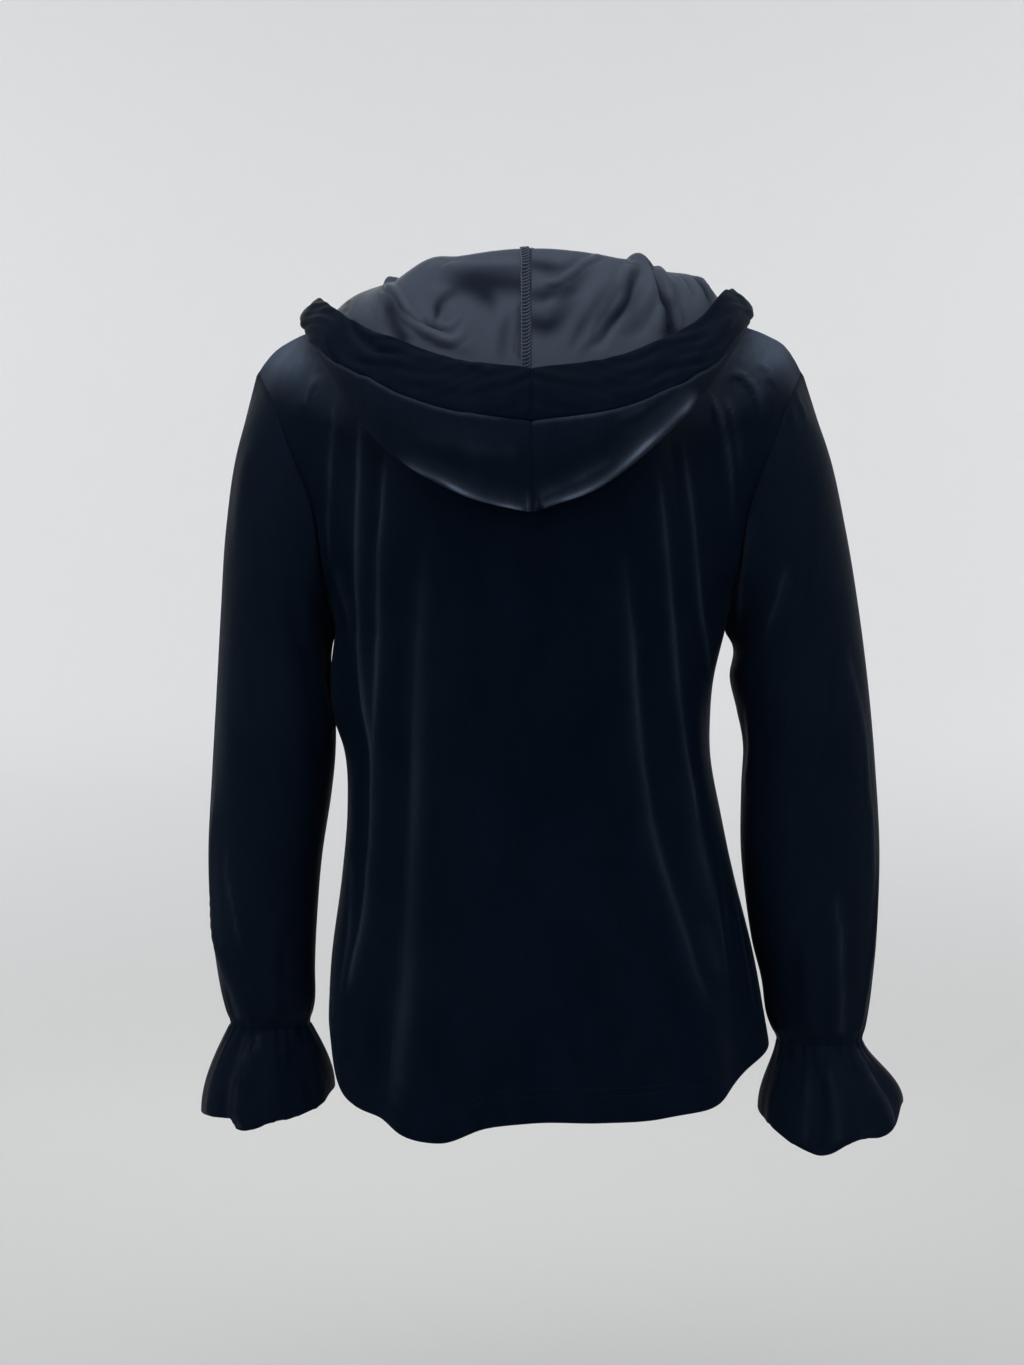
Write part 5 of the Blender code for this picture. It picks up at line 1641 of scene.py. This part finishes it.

# Painted shade for the reverse of a hood half, in its hollows, placed like its creases.
LEFT_PAINTED_SHADE = (
    PaintedShadeLine(((46, 42, 6, 0.0), (39, 45, 8, 0.5), (30, 49, 11, 0.95), (20, 52, 12, 1.0), (10, 53, 11, 0.9),
            (2, 54, 10, 0.8))),
    PaintedShadeLine(((27, 55, 9, 0.8), (21, 63, 9, 0.9), (18, 70, 7, 0.6), (17, 78, 6, 0.0))),
    PaintedShadeLine(((31, 54, 7, 0.4), (37, 64, 6, 0.65), (39, 72, 4.4, 0.8), (38.5, 80, 2.8, 0.8), (38, 89, 2, 0.0))),
    PaintedShadeLine(((66, 56, 3, 0.0), (59, 74, 5, 0.7), (54, 90, 7, 0.85), (47, 106, 6, 0.7))),
    PaintedShadeLine(((48, 96, 4, 0.0), (38, 107, 5, 0.45), (30, 111, 5, 0.45), (20, 115, 5, 0.0))),
    PaintedShadeLine(((9, 80, 5, 0.0), (11, 92, 5, 0.4), (11.5, 104, 5, 0.4), (11.7, 116, 4, 0.2))),
    PaintedShadeLine(((4.6, 70, 1.8, 0.5), (4.8, 90, 1.8, 0.6), (5.2, 116, 1.8, 0.4))),
    PaintedShadeLine(((88, 20, 10, 0.4), (84, 44, 12, 0.6), (79, 66, 9, 0.4))),
)
RIGHT_PAINTED_SHADE = (
    PaintedShadeLine(((2, 36, 6, 0.7), (9, 39, 6.5, 0.8), (16, 39, 5, 0.55), (27, 30, 4, 0.0))),
    PaintedShadeLine(((2, 63, 6, 0.7), (9, 63, 8, 0.8), (16, 59, 9, 0.75), (24, 48, 7, 0.5), (33, 34, 5, 0.0))),
    PaintedShadeLine(((2, 88, 9, 0.85), (8, 90, 9, 0.9), (14, 81, 7, 0.6), (21, 67, 5, 0.0))),
    PaintedShadeLine(((47, 43, 4, 0.0), (38.8, 58.4, 5, 0.35), (30.8, 72, 6, 0.5), (25.3, 84, 6, 0.5), (20, 96, 6, 0.4),
            (14, 118, 4, 0.0))),
    PaintedShadeLine(((56, 31, 3, 0.2), (47.5, 49, 4.6, 0.75), (40, 72, 5, 0.85), (31.4, 89, 5, 0.8), (23, 112, 4, 0.0))),
    PaintedShadeLine(((53, 50, 4, 0.0), (45, 71, 5.5, 0.4), (39.5, 89, 6, 0.4), (32, 110, 5, 0.0))),
    PaintedShadeLine(((65, 28, 2, 0.5), (61, 46, 2.6, 0.85), (58.6, 65, 3, 0.9), (57, 77, 4.4, 1.0), (54.5, 90, 6.5, 1.1),
            (52.5, 104, 9, 1.2))),
    PaintedShadeLine(((87, 38, 3, 0.2), (81, 57, 4, 0.85), (78.9, 65, 4, 0.85), (75, 79, 3.4, 0.5))),
    PaintedShadeLine(((70, 46, 3, 0.0), (66, 62, 5, 0.35), (61, 84, 5, 0.35), (58, 96, 4, 0.1))),
)


@dataclass
class Hood:
    """The hood, lying down over the back, with the folded band round its face edge."""

    shape: BodyShape
    finishes: Finishes
    side: Side
    under: Tuple[Cloth, ...]
    creases: Tuple[Crease, ...]
    back_columns: int = 134
    front_columns: int = 56
    rows: int = 220
    panel_rows: int = 164
    clearance: float = 0.0012
    softness: int = 55
    turn_weight: float = 0.03
    right_lift: float = 0.008
    right_draw: float = 0.007
    band_crown: float = 0.0012
    # rows of the band, closest at its two edges
    band_rows: Row = (0, 0.6, 1.5, 3, 5, 7.5, 10, 13, 16, 19, 22, 25, 28, 31, 34, 37, 39.5, 41.4, 42.8, 43.6, 44)

    azimuth: Row = (0.0, 22.0, 45.0, 67.0, 90.0, 112.0, 135.0, 157.0, 176.5)
    crest_r: Row = (0.066, 0.071, 0.081, 0.095, 0.104, 0.102, 0.098, 0.100, 0.1090)
    crest_z: Row = (0.0115, 0.0105, 0.008, 0.002, -0.006, -0.018, -0.042, -0.076, -0.1010)
    lay_r: Row = (0.110, 0.118, 0.127, 0.136, 0.142, 0.134, 0.116, 0.108, 0.1190)
    lay_z: Row = (-0.088, -0.078, -0.058, -0.031, -0.008, -0.026, -0.050, -0.072, -0.0940)
    fold_r: Row = (0.137, 0.146, 0.160, 0.165, 0.168, 0.160, 0.134, 0.118, 0.1300)
    fold_z: Row = (-0.203, -0.178, -0.130, -0.070, -0.038, -0.056, -0.072, -0.088, -0.0990)
    belly_r: Row = (0.163, 0.168, 0.176, 0.182, 0.184, 0.176, 0.148, 0.128, 0.1360)
    belly_z: Row = (-0.164, -0.146, -0.106, -0.062, -0.030, -0.061, -0.092, -0.106, -0.1100)
    rim_r: Row = (0.147, 0.147, 0.152, 0.161, 0.172, 0.188, 0.156, 0.135, 0.1380)
    rim_z: Row = (-0.098, -0.089, -0.064, -0.038, -0.013, -0.060, -0.106, -0.122, -0.1220)

    band_width: Row = (0.0415, 0.0415, 0.0410, 0.0370, 0.0370, 0.0400, 0.0430, 0.0440, 0.0440)
    left_sag: Row = (0.002, 0.011, 0.017, 0.004, 0.0, 0.0, 0.0, 0.0, 0.0)  # how much lower the left half hangs
    right_sag: Row = (0.002, 0.0035, 0.0, 0.0, 0.0, 0.0, 0.0, 0.0, 0.0)
    raise_rim: Row = (0.0050, 0.0045, 0.0020, 0.0, 0.0, 0.0, 0.0, 0.0, 0.0)

    def section(self, azimuth: float, fine: int = 90) -> Array:
        """The hood's velvet face in one direction.

        Args:
            azimuth: The direction in degrees, 0 straight back.
            fine: How many points to give.

        Returns:
            Points of its (r, z) line, from neck to rim.
        """
        radius = [smooth(self.azimuth, self.shape.neck_r, azimuth)[0]]
        height = [smooth(self.azimuth, self.shape.neck_z, azimuth)[0]]
        for name in ("crest", "lay", "fold", "belly", "rim"):
            radius.append(smooth(self.azimuth, getattr(self, name + "_r"), azimuth)[0])
            height.append(smooth(self.azimuth, getattr(self, name + "_z"), azimuth)[0])
        sag = smooth(self.azimuth, self.left_sag if self.side is Side.LEFT else self.right_sag, azimuth)[0]
        lift = smooth(self.azimuth, self.raise_rim, azimuth)[0]
        blunt = bump((azimuth - 69) / 9) * (0.003 if self.side is Side.LEFT else 0.009)
        blunt -= bump((azimuth - 90) / 9) * (0.004 if self.side is Side.LEFT else 0.006)
        height[1] += 0.006 * bump(azimuth / 48)
        if self.side is Side.LEFT:
            height[1] += 0.005 * bump((azimuth - 56) / 9) - 0.004 * bump((azimuth - 74) / 7)
            height[2] -= 0.005 * bump((azimuth - 86) / 14)
        else:
            height[1] += 0.0060 * bump((azimuth - 64) / 6.5)
            height[2] += 0.0030 * bump((azimuth - 86) / 12)
        height[3] -= sag
        height[4] += lift * 0.6 - sag * 0.75
        height[5] += lift + blunt
        marks = np.stack([radius, height], axis=1)
        knots = np.concatenate([[0], np.cumsum(np.sqrt(np.linalg.norm(np.diff(marks, axis=0), axis=1)))])
        return even_out(smooth(knots, marks, np.linspace(0, knots[-1], fine)), self.softness)

    def surface(self) -> Cloth:
        """The whole half, from the neck seam to the rim, resting on the body.

        Returns:
            The cloth, before its creases.
        """
        azimuths = np.concatenate(
            [np.linspace(0, 82, self.back_columns), np.linspace(82, self.azimuth[-1], self.front_columns + 1)[1:]]
        )
        columns = []
        for azimuth in azimuths:
            line = self.section(azimuth)
            angle = math.radians(azimuth)
            columns.append(np.stack([line[:, 0] * math.sin(angle), line[:, 0] * math.cos(angle), line[:, 1]], axis=1))
        grid = np.stack(columns, axis=1)
        if self.side is Side.RIGHT:
            over = bump((grid[..., 0] - 0.150) / 0.075) * bump(grid[..., 1] / 0.095)
            grid[..., 2] += self.right_lift * over
            grid[..., 0] -= self.right_draw * over
        grid = grid * np.array([self.side.sign, 1.0, 1.0])
        clear = np.clip(np.linspace(0, 6, len(grid)), 0, 1)[:, None] * self.clearance
        grid = self.rest(grid, np.broadcast_to(clear, grid.shape[:2]))
        steps = np.diff(grid, axis=0)
        span = np.linalg.norm(steps, axis=2)
        aim = steps / span[..., None]
        bend = np.zeros_like(span)
        bend[1:] = np.arccos(np.clip(np.sum(aim[1:] * aim[:-1], axis=2), -1, 1))
        spread = np.concatenate([np.zeros((1, grid.shape[1])), np.cumsum(span + self.turn_weight * bend, axis=0)])
        shares = np.linspace(0, 1, self.rows + 1)
        grid = resample(grid, spread, np.zeros(grid.shape[1]), spread[-1], shares)
        degrees = np.broadcast_to(azimuths, grid.shape[:2])
        cloth = Cloth(grid, np.stack([degrees, lengths(grid) * 1000], axis=2), (2.2, 1.0))
        cloth.facing = -self.side.sign
        return cloth

    def rest(self, points: Array, clearance: Array) -> Array:
        """Moves points out until each is at least the clearance from the body panels below it.

        Args:
            points: Rows by columns by 3.
            clearance: The least distance for each point.

        Returns:
            The moved points.
        """
        base = np.concatenate([c.points[::2, ::2].reshape(-1, 3) for c in self.under])
        out = np.concatenate([c.normals()[::2, ::2].reshape(-1, 3) for c in self.under])
        tree = KDTree(len(base))
        for k, point in enumerate(base):
            tree.insert(point, k)
        tree.balance()
        flat = points.reshape(-1, 3).copy()
        need = clearance.reshape(-1)
        for k, point in enumerate(flat):
            found = tree.find_n(point, 8)
            index = [f[1] for f in found]
            share = np.array([1 / (f[2] + 1e-4) ** 2 for f in found])
            share = (share / share.sum())[:, None]
            way = unit((out[index] * share).sum(axis=0))
            height = float(np.dot(point - (base[index] * share).sum(axis=0), way))
            flat[k] = point + way * min(max(need[k] - height, 0.0), 0.01)
        return flat.reshape(points.shape)

    def crinkle(self, whole: Cloth) -> None:
        """Ripples the band slightly, most over the shoulder.

        Args:
            whole: The hood half, from neck seam to rim.
        """
        degrees, gone = whole.chart[..., 0], whole.chart[..., 1]
        from_rim = gone[-1:] - gone
        skew = gone * 0.55 + degrees * 2.2
        wave = np.sin(skew / 3.1 + 1.7 * np.sin(degrees / 6.3)) * np.sin(from_rim / 4.7 + degrees / 9.0)
        fine = np.sin(skew / 1.7 - from_rim / 3.3 + 2.1 * np.sin(degrees / 4.1 + 1.0))
        most = 0.35 + 0.65 * bump((degrees - 56) / 24)
        inside = ramp(-from_rim, -40, -33)
        lift = (0.00120 * wave + 0.00065 * fine) * most * inside
        whole.points = whole.points + whole.normals() * lift[..., None]

    def build(self) -> None:
        """Makes the panel and its half of the band."""
        whole = self.surface()
        whole.fold(self.creases, ramp(lengths(whole.points), 0, 0.010))
        self.crinkle(whole)
        gone = lengths(whole.points)
        degrees = whole.chart[0, :, 0]
        start = gone[-1] - smooth(self.azimuth, self.band_width, degrees)
        share = np.array(self.band_rows) / self.band_rows[-1]
        made = []
        for low, high, shares in (
            (np.zeros(len(start)), start, np.linspace(0, 1, self.panel_rows + 1)),
            (start, gone[-1], share),
        ):
            grid = resample(whole.points, gone, low, high, shares)
            nap = resample(whole.nap[..., None], gone, low, high, shares)[..., 0]
            chart = np.stack([np.broadcast_to(degrees, grid.shape[:2]), lengths(grid) * 1000], axis=2)
            made.append(Cloth(grid, chart, (2.2, 1.0), facing=whole.facing, nap=nap))
        panel, band = made
        from_seam = panel.from_last_row()
        along = panel.chart[..., 0]
        # painted highlight along the seam to the band; the reverse takes it as painted shade
        glint = 0.40 * ramp(along, 4, 16) * ramp(-along, -74, -62)
        if self.side is Side.RIGHT:
            glint = 0.34 * ramp(-along, -72, -50) + 0.22 * bump((along - 15) / 7)
        panel.nap = np.maximum(panel.nap, glint * bump(from_seam / 0.0022))
        # a little more painted light on the drape, far from the neck seam
        panel.nap = panel.nap + 0.03 * ramp(lengths(panel.points), 0.14, 0.17)
        # painted shade of the hollows on the reverse, joined to the painted light already there
        for painted_shade in LEFT_PAINTED_SHADE if self.side is Side.LEFT else RIGHT_PAINTED_SHADE:
            dark = painted_shade.shade(panel)
            panel.nap = np.where(dark > 0.001, 1 - (1 - np.clip(panel.nap, 0, 1)) * (1 - dark), panel.nap)
        panel.sink_seams(from_seam, 0.0006, 0.003)
        panel.sink_seams(panel.across_distance(False), 0.0012, 0.004)
        crown = np.sin(share * math.pi) ** 0.6
        band.points = band.points + band.normals() * (self.band_crown * crown)[:, None, None]
        band.sink_seams(lengths(band.points), 0.0005, 0.0025)
        # the band keeps only part of the painted light
        band.nap = band.nap * 0.6
        band.sink_seams(band.across_distance(False), 0.0008, 0.003)
        name = self.side.value
        velvet, reverse = self.finishes.velvet, self.finishes.reverse
        cloth = Wall(f"hood_panel_{name}", panel, self.shape.cloth).build(velvet, reverse)
        settle(cloth, f"hood_{name}")
        thick = self.shape.cloth * (1 + crown)
        edge = Wall(f"hood_face_band_{name}", band, thick[:, None], rim_steps=5).build(velvet, velvet)
        settle(edge, f"hood_band_{name}")
        extras = SeamAllowance(self.finishes, panel).build() if self.side is Side.LEFT else []


@dataclass
class SeamAllowance:
    """The overlocked allowance of the hood's centre seam, pressed to the left on the reverse."""

    finishes: Finishes
    panel: Cloth
    cloth: float = 0.0016
    width: float = 0.0072
    start: float = 0.004
    stop: float = 0.262
    pitch: float = 0.0030
    rows: int = 150

    def build(self) -> List[bpy.types.Object]:
        """Makes the strip, its cross threads and the chain along its free edge.

        Returns:
            The strip and the threads.
        """
        across = np.swapaxes(self.panel.points - self.panel.normals() * self.cloth, 0, 1)
        inward = np.swapaxes(-self.panel.normals(), 0, 1)
        places = np.array([0.0005, 0.0018, 0.0036, 0.0054, 0.0066, self.width])
        gone = lengths(across)
        zero, one = np.zeros(across.shape[1]), np.ones(across.shape[1])
        base = np.swapaxes(resample(across, gone, zero, one, places), 0, 1)
        out = unit(np.swapaxes(resample(inward, gone, zero, one, places), 0, 1))
        along = lengths(base)
        low, high = np.full(len(places), self.start), np.full(len(places), self.stop)
        shares = np.linspace(0, 1, self.rows + 1)
        base, out = resample(base, along, low, high, shares), unit(resample(out, along, low, high, shares))
        wave = 0.00035 * np.sin(np.linspace(0, 61, self.rows + 1))[:, None, None] * (places / self.width)[None, :, None]
        strip = Cloth(base + out * (0.0011 + wave), np.zeros(base.shape[:2] + (2,)))
        strip.facing = float(np.sign(np.sum(strip.normals() * out)))
        # darkens the strip more than half towards the shaded colour of the reverse
        strip.nap += 0.55
        name = "hood_seam_allowance"
        allowance = Wall(name, strip, 0.0008).build(self.finishes.reverse, self.finishes.reverse)
        settle(allowance)
        threads = self.rungs(strip, out)
        settle(threads)
        return [allowance, threads]

    def rungs(self, strip: Cloth, out: Array) -> bpy.types.Object:
        """The overlocking: slanting cross threads and a chain on the free edge.

        Args:
            strip: The allowance.
            out: The direction away from the hood at each of its points.

        Returns:
            All the threads as one object.
        """
        last = self.rows
        length = self.stop - self.start
        steps = np.arange(0.5, length / self.pitch - 1)
        columns = strip.points.shape[1]
        bodies = []
        for step in steps:
            row = step * self.pitch / length * last
            lean = np.linspace(0.0, 0.9, columns) * self.pitch / length * last
            spine = np.array([self.read(strip.points, row + lean[k], k) for k in range(columns)])
            way = np.array([self.read(out, row + lean[k], k) for k in range(columns)])
            rise = np.array([0.0002, 0.0004, 0.0004, 0.0004, 0.0004, 0.0001])[:, None]
            bodies.append((spine + way * rise, way))
            edge_rows = np.minimum(row + np.array([0.0, 0.35, 0.75, 1.1]) * self.pitch / length * last, last)
            spine = np.array([self.read(strip.points, r, columns - 1) for r in edge_rows])
            way = np.array([self.read(out, r, columns - 1) for r in edge_rows])
            side = np.array([0.0, 0.0004, 0.0004, 0.0])[:, None] * unit(spine[1] - self.read(strip.points, row, 3))
            bodies.append((spine + way * 0.0004 + side, way))
        return tubes("hood_overlock_threads", bodies, 0.00034, 5, self.finishes.overlock)

    @staticmethod
    def read(grid: Array, row: float, column: int) -> Array:
        """One place of a grid between two rows."""
        low = min(int(row), len(grid) - 2)
        return grid[low, column] + (grid[low + 1, column] - grid[low, column]) * (row - low)


# --------------------------------------------------------------------------------------------- zip


@dataclass
class Zip:
    """The closed zip down the middle front: tapes, teeth, the box at its foot, slider and pull."""

    finishes: Finishes
    pitch: float = 0.0022
    tooth: Colour = (0.0031, 0.0013, 0.0012)  # across, deep and high
    top_z: float = -0.1330
    foot_z: float = -0.6140
    box: Colour = (0.0074, 0.0026, 0.0066)
    from_middle: float = 0.0012  # how far out each side's teeth are

    def build(self) -> None:
        """Gives the CAD nodes their finishes, then adds the teeth and the box."""
        for node, finish in (
            ("zip_tape_left", self.finishes.tape),
            ("zip_tape_right", self.finishes.tape),
            ("zip_slider", self.finishes.metal),
            ("zip_pull", self.finishes.metal),
        ):
            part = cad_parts[node]
            for slot in part.material_slots:
                slot.material = finish
            LOG.info("%s: finished in place", node)
        line = tape_line()
        tooth = self.block("zip_tooth", self.tooth, 0.00036, 1)
        for side in Side:
            settle(self.row(tooth, line, side), slot="zip_metal")
        bpy.data.objects.remove(tooth)
        self.foot(line)

    def block(self, name: str, size: Colour, bevel: float, segments: int) -> bpy.types.Object:
        """A small block with rounded edges, at the origin.

        Args:
            name: Its name.
            size: Across, deep and high.
            bevel: The width of its rounded edges.
            segments: Faces round each edge.

        Returns:
            The object.
        """
        bpy.ops.object.select_all(action="DESELECT")
        bpy.ops.mesh.primitive_cube_add(size=1.0, location=(0.0, 0.0, 0.0))
        made = bpy.context.active_object
        made.name = name
        bpy.ops.object.mode_set(mode="EDIT")
        bpy.ops.mesh.select_all(action="SELECT")
        bpy.ops.transform.resize(value=size, center_override=(0.0, 0.0, 0.0))
        bpy.ops.mesh.bevel(offset=bevel, offset_type="OFFSET", segments=segments, affect="EDGES")
        bpy.ops.mesh.select_all(action="SELECT")
        bpy.ops.mesh.normals_make_consistent(inside=False)
        bpy.ops.object.mode_set(mode="OBJECT")
        return made

    def row(self, tooth: bpy.types.Object, line: Array, side: Side) -> bpy.types.Object:
        """One side's teeth, each a copy of the first, as one piece.

        Args:
            tooth: The tooth at the origin.
            line: The tape's face, as (y, z).
            side: Which tape they sit on.

        Returns:
            The row.
        """
        base = np.array([v.co for v in tooth.data.vertices])
        faces = [list(f.vertices) for f in tooth.data.polygons]
        first = self.foot_z + (self.pitch / 2 if side is Side.LEFT else 0.0)
        points, every = [], []
        for count, height in enumerate(np.arange(first, self.top_z, self.pitch)):
            below, deep, above = np.interp((height - 0.004, height, height + 0.004), line[:, 1], line[:, 0])
            lean = math.atan2(above - below, 0.008)
            turn = np.array([[1, 0, 0], [0, math.cos(lean), math.sin(lean)], [0, -math.sin(lean), math.cos(lean)]])
            points.append(base @ turn.T + np.array([side.sign * self.from_middle, deep - 0.0007, height]))
            every += [[k + count * len(base) for k in f] for f in faces]
        mesh = bpy.data.meshes.new(f"zip_teeth_{side.value}")
        mesh.from_pydata(np.concatenate(points).tolist(), [], every)
        mesh.materials.append(self.finishes.teeth)
        return placed(mesh.name, mesh)

    def foot(self, line: Array) -> None:
        """The box and pin at the foot of the zip, with a groove down the pin's side.

        Args:
            line: The tape's face, as (y, z).
        """
        deep = float(np.interp(self.foot_z, line[:, 1], line[:, 0]))
        box = self.block("zip_box", self.box, 0.0007, 2)
        bpy.ops.object.mode_set(mode="EDIT")
        bpy.ops.mesh.select_all(action="SELECT")
        bpy.ops.mesh.bisect(plane_co=(0.0009, 0.0, 0.0), plane_no=(1.0, 0.0, 0.0))
        bpy.ops.transform.resize(value=(0.5, 0.86, 1.0), center_override=(0.0009, 0.0004, 0.0))
        bpy.ops.mesh.select_all(action="SELECT")
        bpy.ops.transform.translate(value=(0.0, deep - 0.0004, self.foot_z - 0.0042))
        bpy.ops.object.mode_set(mode="OBJECT")
        box.data.materials.append(self.finishes.metal)
        settle(box, slot="zip_metal")


# ------------------------------------------------------------------------------------------ studio


@dataclass
class Studio:
    """Seamless pale floor and backdrop, soft lights and the camera."""

    floor_z: float = -1.02
    flat_radius: float = 2.0
    sweep: float = 1.6
    wall_top: float = 2.2
    camera_x: float = 0.0144
    camera_y: float = 1.5
    camera_z: float = -0.320
    lens: float = 49.45

    def build(self) -> None:
        """Makes the floor, the lights and the camera."""
        self.floor()
        for name, place, aim, size, power in (
            ("overhead", (0.05, 0.35, 0.95), (0.0, 0.05, -0.2), 0.9, 9.0),
            ("left_soft", (2.0, 1.7, 0.6), (0.0, 0.0, -0.3), 1.4, 11.0),
            ("right_soft", (-2.0, 1.7, 0.6), (0.0, 0.0, -0.3), 1.4, 6.0),
            ("front_soft", (0.4, -2.0, 1.0), (0.0, 0.0, -0.3), 1.4, 10.0),
            ("backdrop_left", (2.1, -0.9, 0.9), (0.3, -3.6, 0.9), 1.2, 16.0),
            ("backdrop_right", (-2.1, -0.9, 0.9), (-0.3, -3.6, 0.9), 1.2, 16.0),
        ):
            self.light(name, place, aim, size, power)
        world = bpy.data.worlds.new("studio")
        world.use_nodes = True
        background = world.node_tree.nodes["Background"].inputs
        background["Color"].default_value = (0.93, 0.96, 1.0, 1.0)
        background["Strength"].default_value = 0.52
        bpy.context.scene.world = world
        bpy.context.scene.view_settings.view_transform = "Standard"
        self.camera()

    def floor(self) -> None:
        """A round floor that sweeps up into a wall on every side."""
        turn = np.linspace(0, math.pi / 2, 15)
        radius = np.concatenate([[0.02, self.flat_radius / 2], self.flat_radius + self.sweep * np.sin(turn),
                                 [self.flat_radius + self.sweep]])
        height = np.concatenate([[0.0, 0.0], self.sweep * (1 - np.cos(turn)), [self.wall_top - self.floor_z]])
        angle = np.linspace(0, 2 * math.pi, 97)[:-1]
        points = np.stack(
            [radius[:, None] * np.cos(angle), radius[:, None] * np.sin(angle),
             np.broadcast_to(height[:, None] + self.floor_z, (len(radius), len(angle)))], axis=2)
        count = len(angle)
        faces = [
            [i * count + j, (i + 1) * count + j, (i + 1) * count + (j + 1) % count, i * count + (j + 1) % count]
            for i in range(len(radius) - 1) for j in range(count)
        ]
        faces.append(list(range(count)))
        mesh = bpy.data.meshes.new("studio_floor")
        mesh.from_pydata(points.reshape(-1, 3).tolist(), [], faces)
        mesh.shade_smooth()
        mesh.materials.append(Paper().material())
        placed(mesh.name, mesh)

    def light(self, name: str, place: Colour, aim: Colour, size: float, power: float) -> None:
        """One soft square light.

        Args:
            name: Its name.
            place: Where it is.
            aim: What it points at.
            size: Its side in metres.
            power: Its power in watts.
        """
        data = bpy.data.lights.new(name, "AREA")
        data.shape, data.size, data.energy = "SQUARE", size, power
        made = placed(name, data)
        made.location = place
        made.rotation_euler = (Vector(aim) - Vector(place)).to_track_quat("-Z", "Y").to_euler()

    def camera(self) -> None:
        """The camera behind the jacket, level and looking straight at its back."""
        data = bpy.data.cameras.new("camera")
        data.lens, data.sensor_width = self.lens, 36.0
        data.clip_start, data.clip_end = 0.05, 50.0
        made = placed("camera", data)
        made.location = (self.camera_x, self.camera_y, self.camera_z)
        made.rotation_euler = (math.pi / 2, 0.0, math.pi)
        bpy.context.scene.camera = made


def main() -> None:
    """Builds the jacket and its studio in order."""
    logging.basicConfig(level=logging.INFO, format="%(message)s")
    finishes = Finishes.make()
    shape = BodyShape()
    Studio().build()
    torso = Torso(shape, finishes)
    under = (torso.build_back(), torso.build_front(Side.LEFT), torso.build_front(Side.RIGHT))
    sleeves = (
        Sleeve(shape, finishes, Side.LEFT, LEFT_SLEEVE_RINGS, LEFT_SLEEVE_CREASES, LEFT_CUFF_CREASES),
        Sleeve(
            shape, finishes, Side.RIGHT, RIGHT_SLEEVE_RINGS, RIGHT_SLEEVE_CREASES, RIGHT_CUFF_CREASES,
            cuff_middle_x=0.2404, cuff_half_width=0.0575, cuff_flare=1.5, cuff_turn=RIGHT_CUFF_TURN,
            cuff_hem_z=RIGHT_CUFF_HEM_Z,
        ),
    )
    for sleeve in sleeves:
        sleeve.build_sleeve()
        sleeve.build_cuff()
    for side, creases in ((Side.LEFT, LEFT_HOOD_CREASES), (Side.RIGHT, RIGHT_HOOD_CREASES)):
        Hood(shape, finishes, side, under, creases).build()
    Zip(finishes).build()


if __name__ == "__main__":
    main()
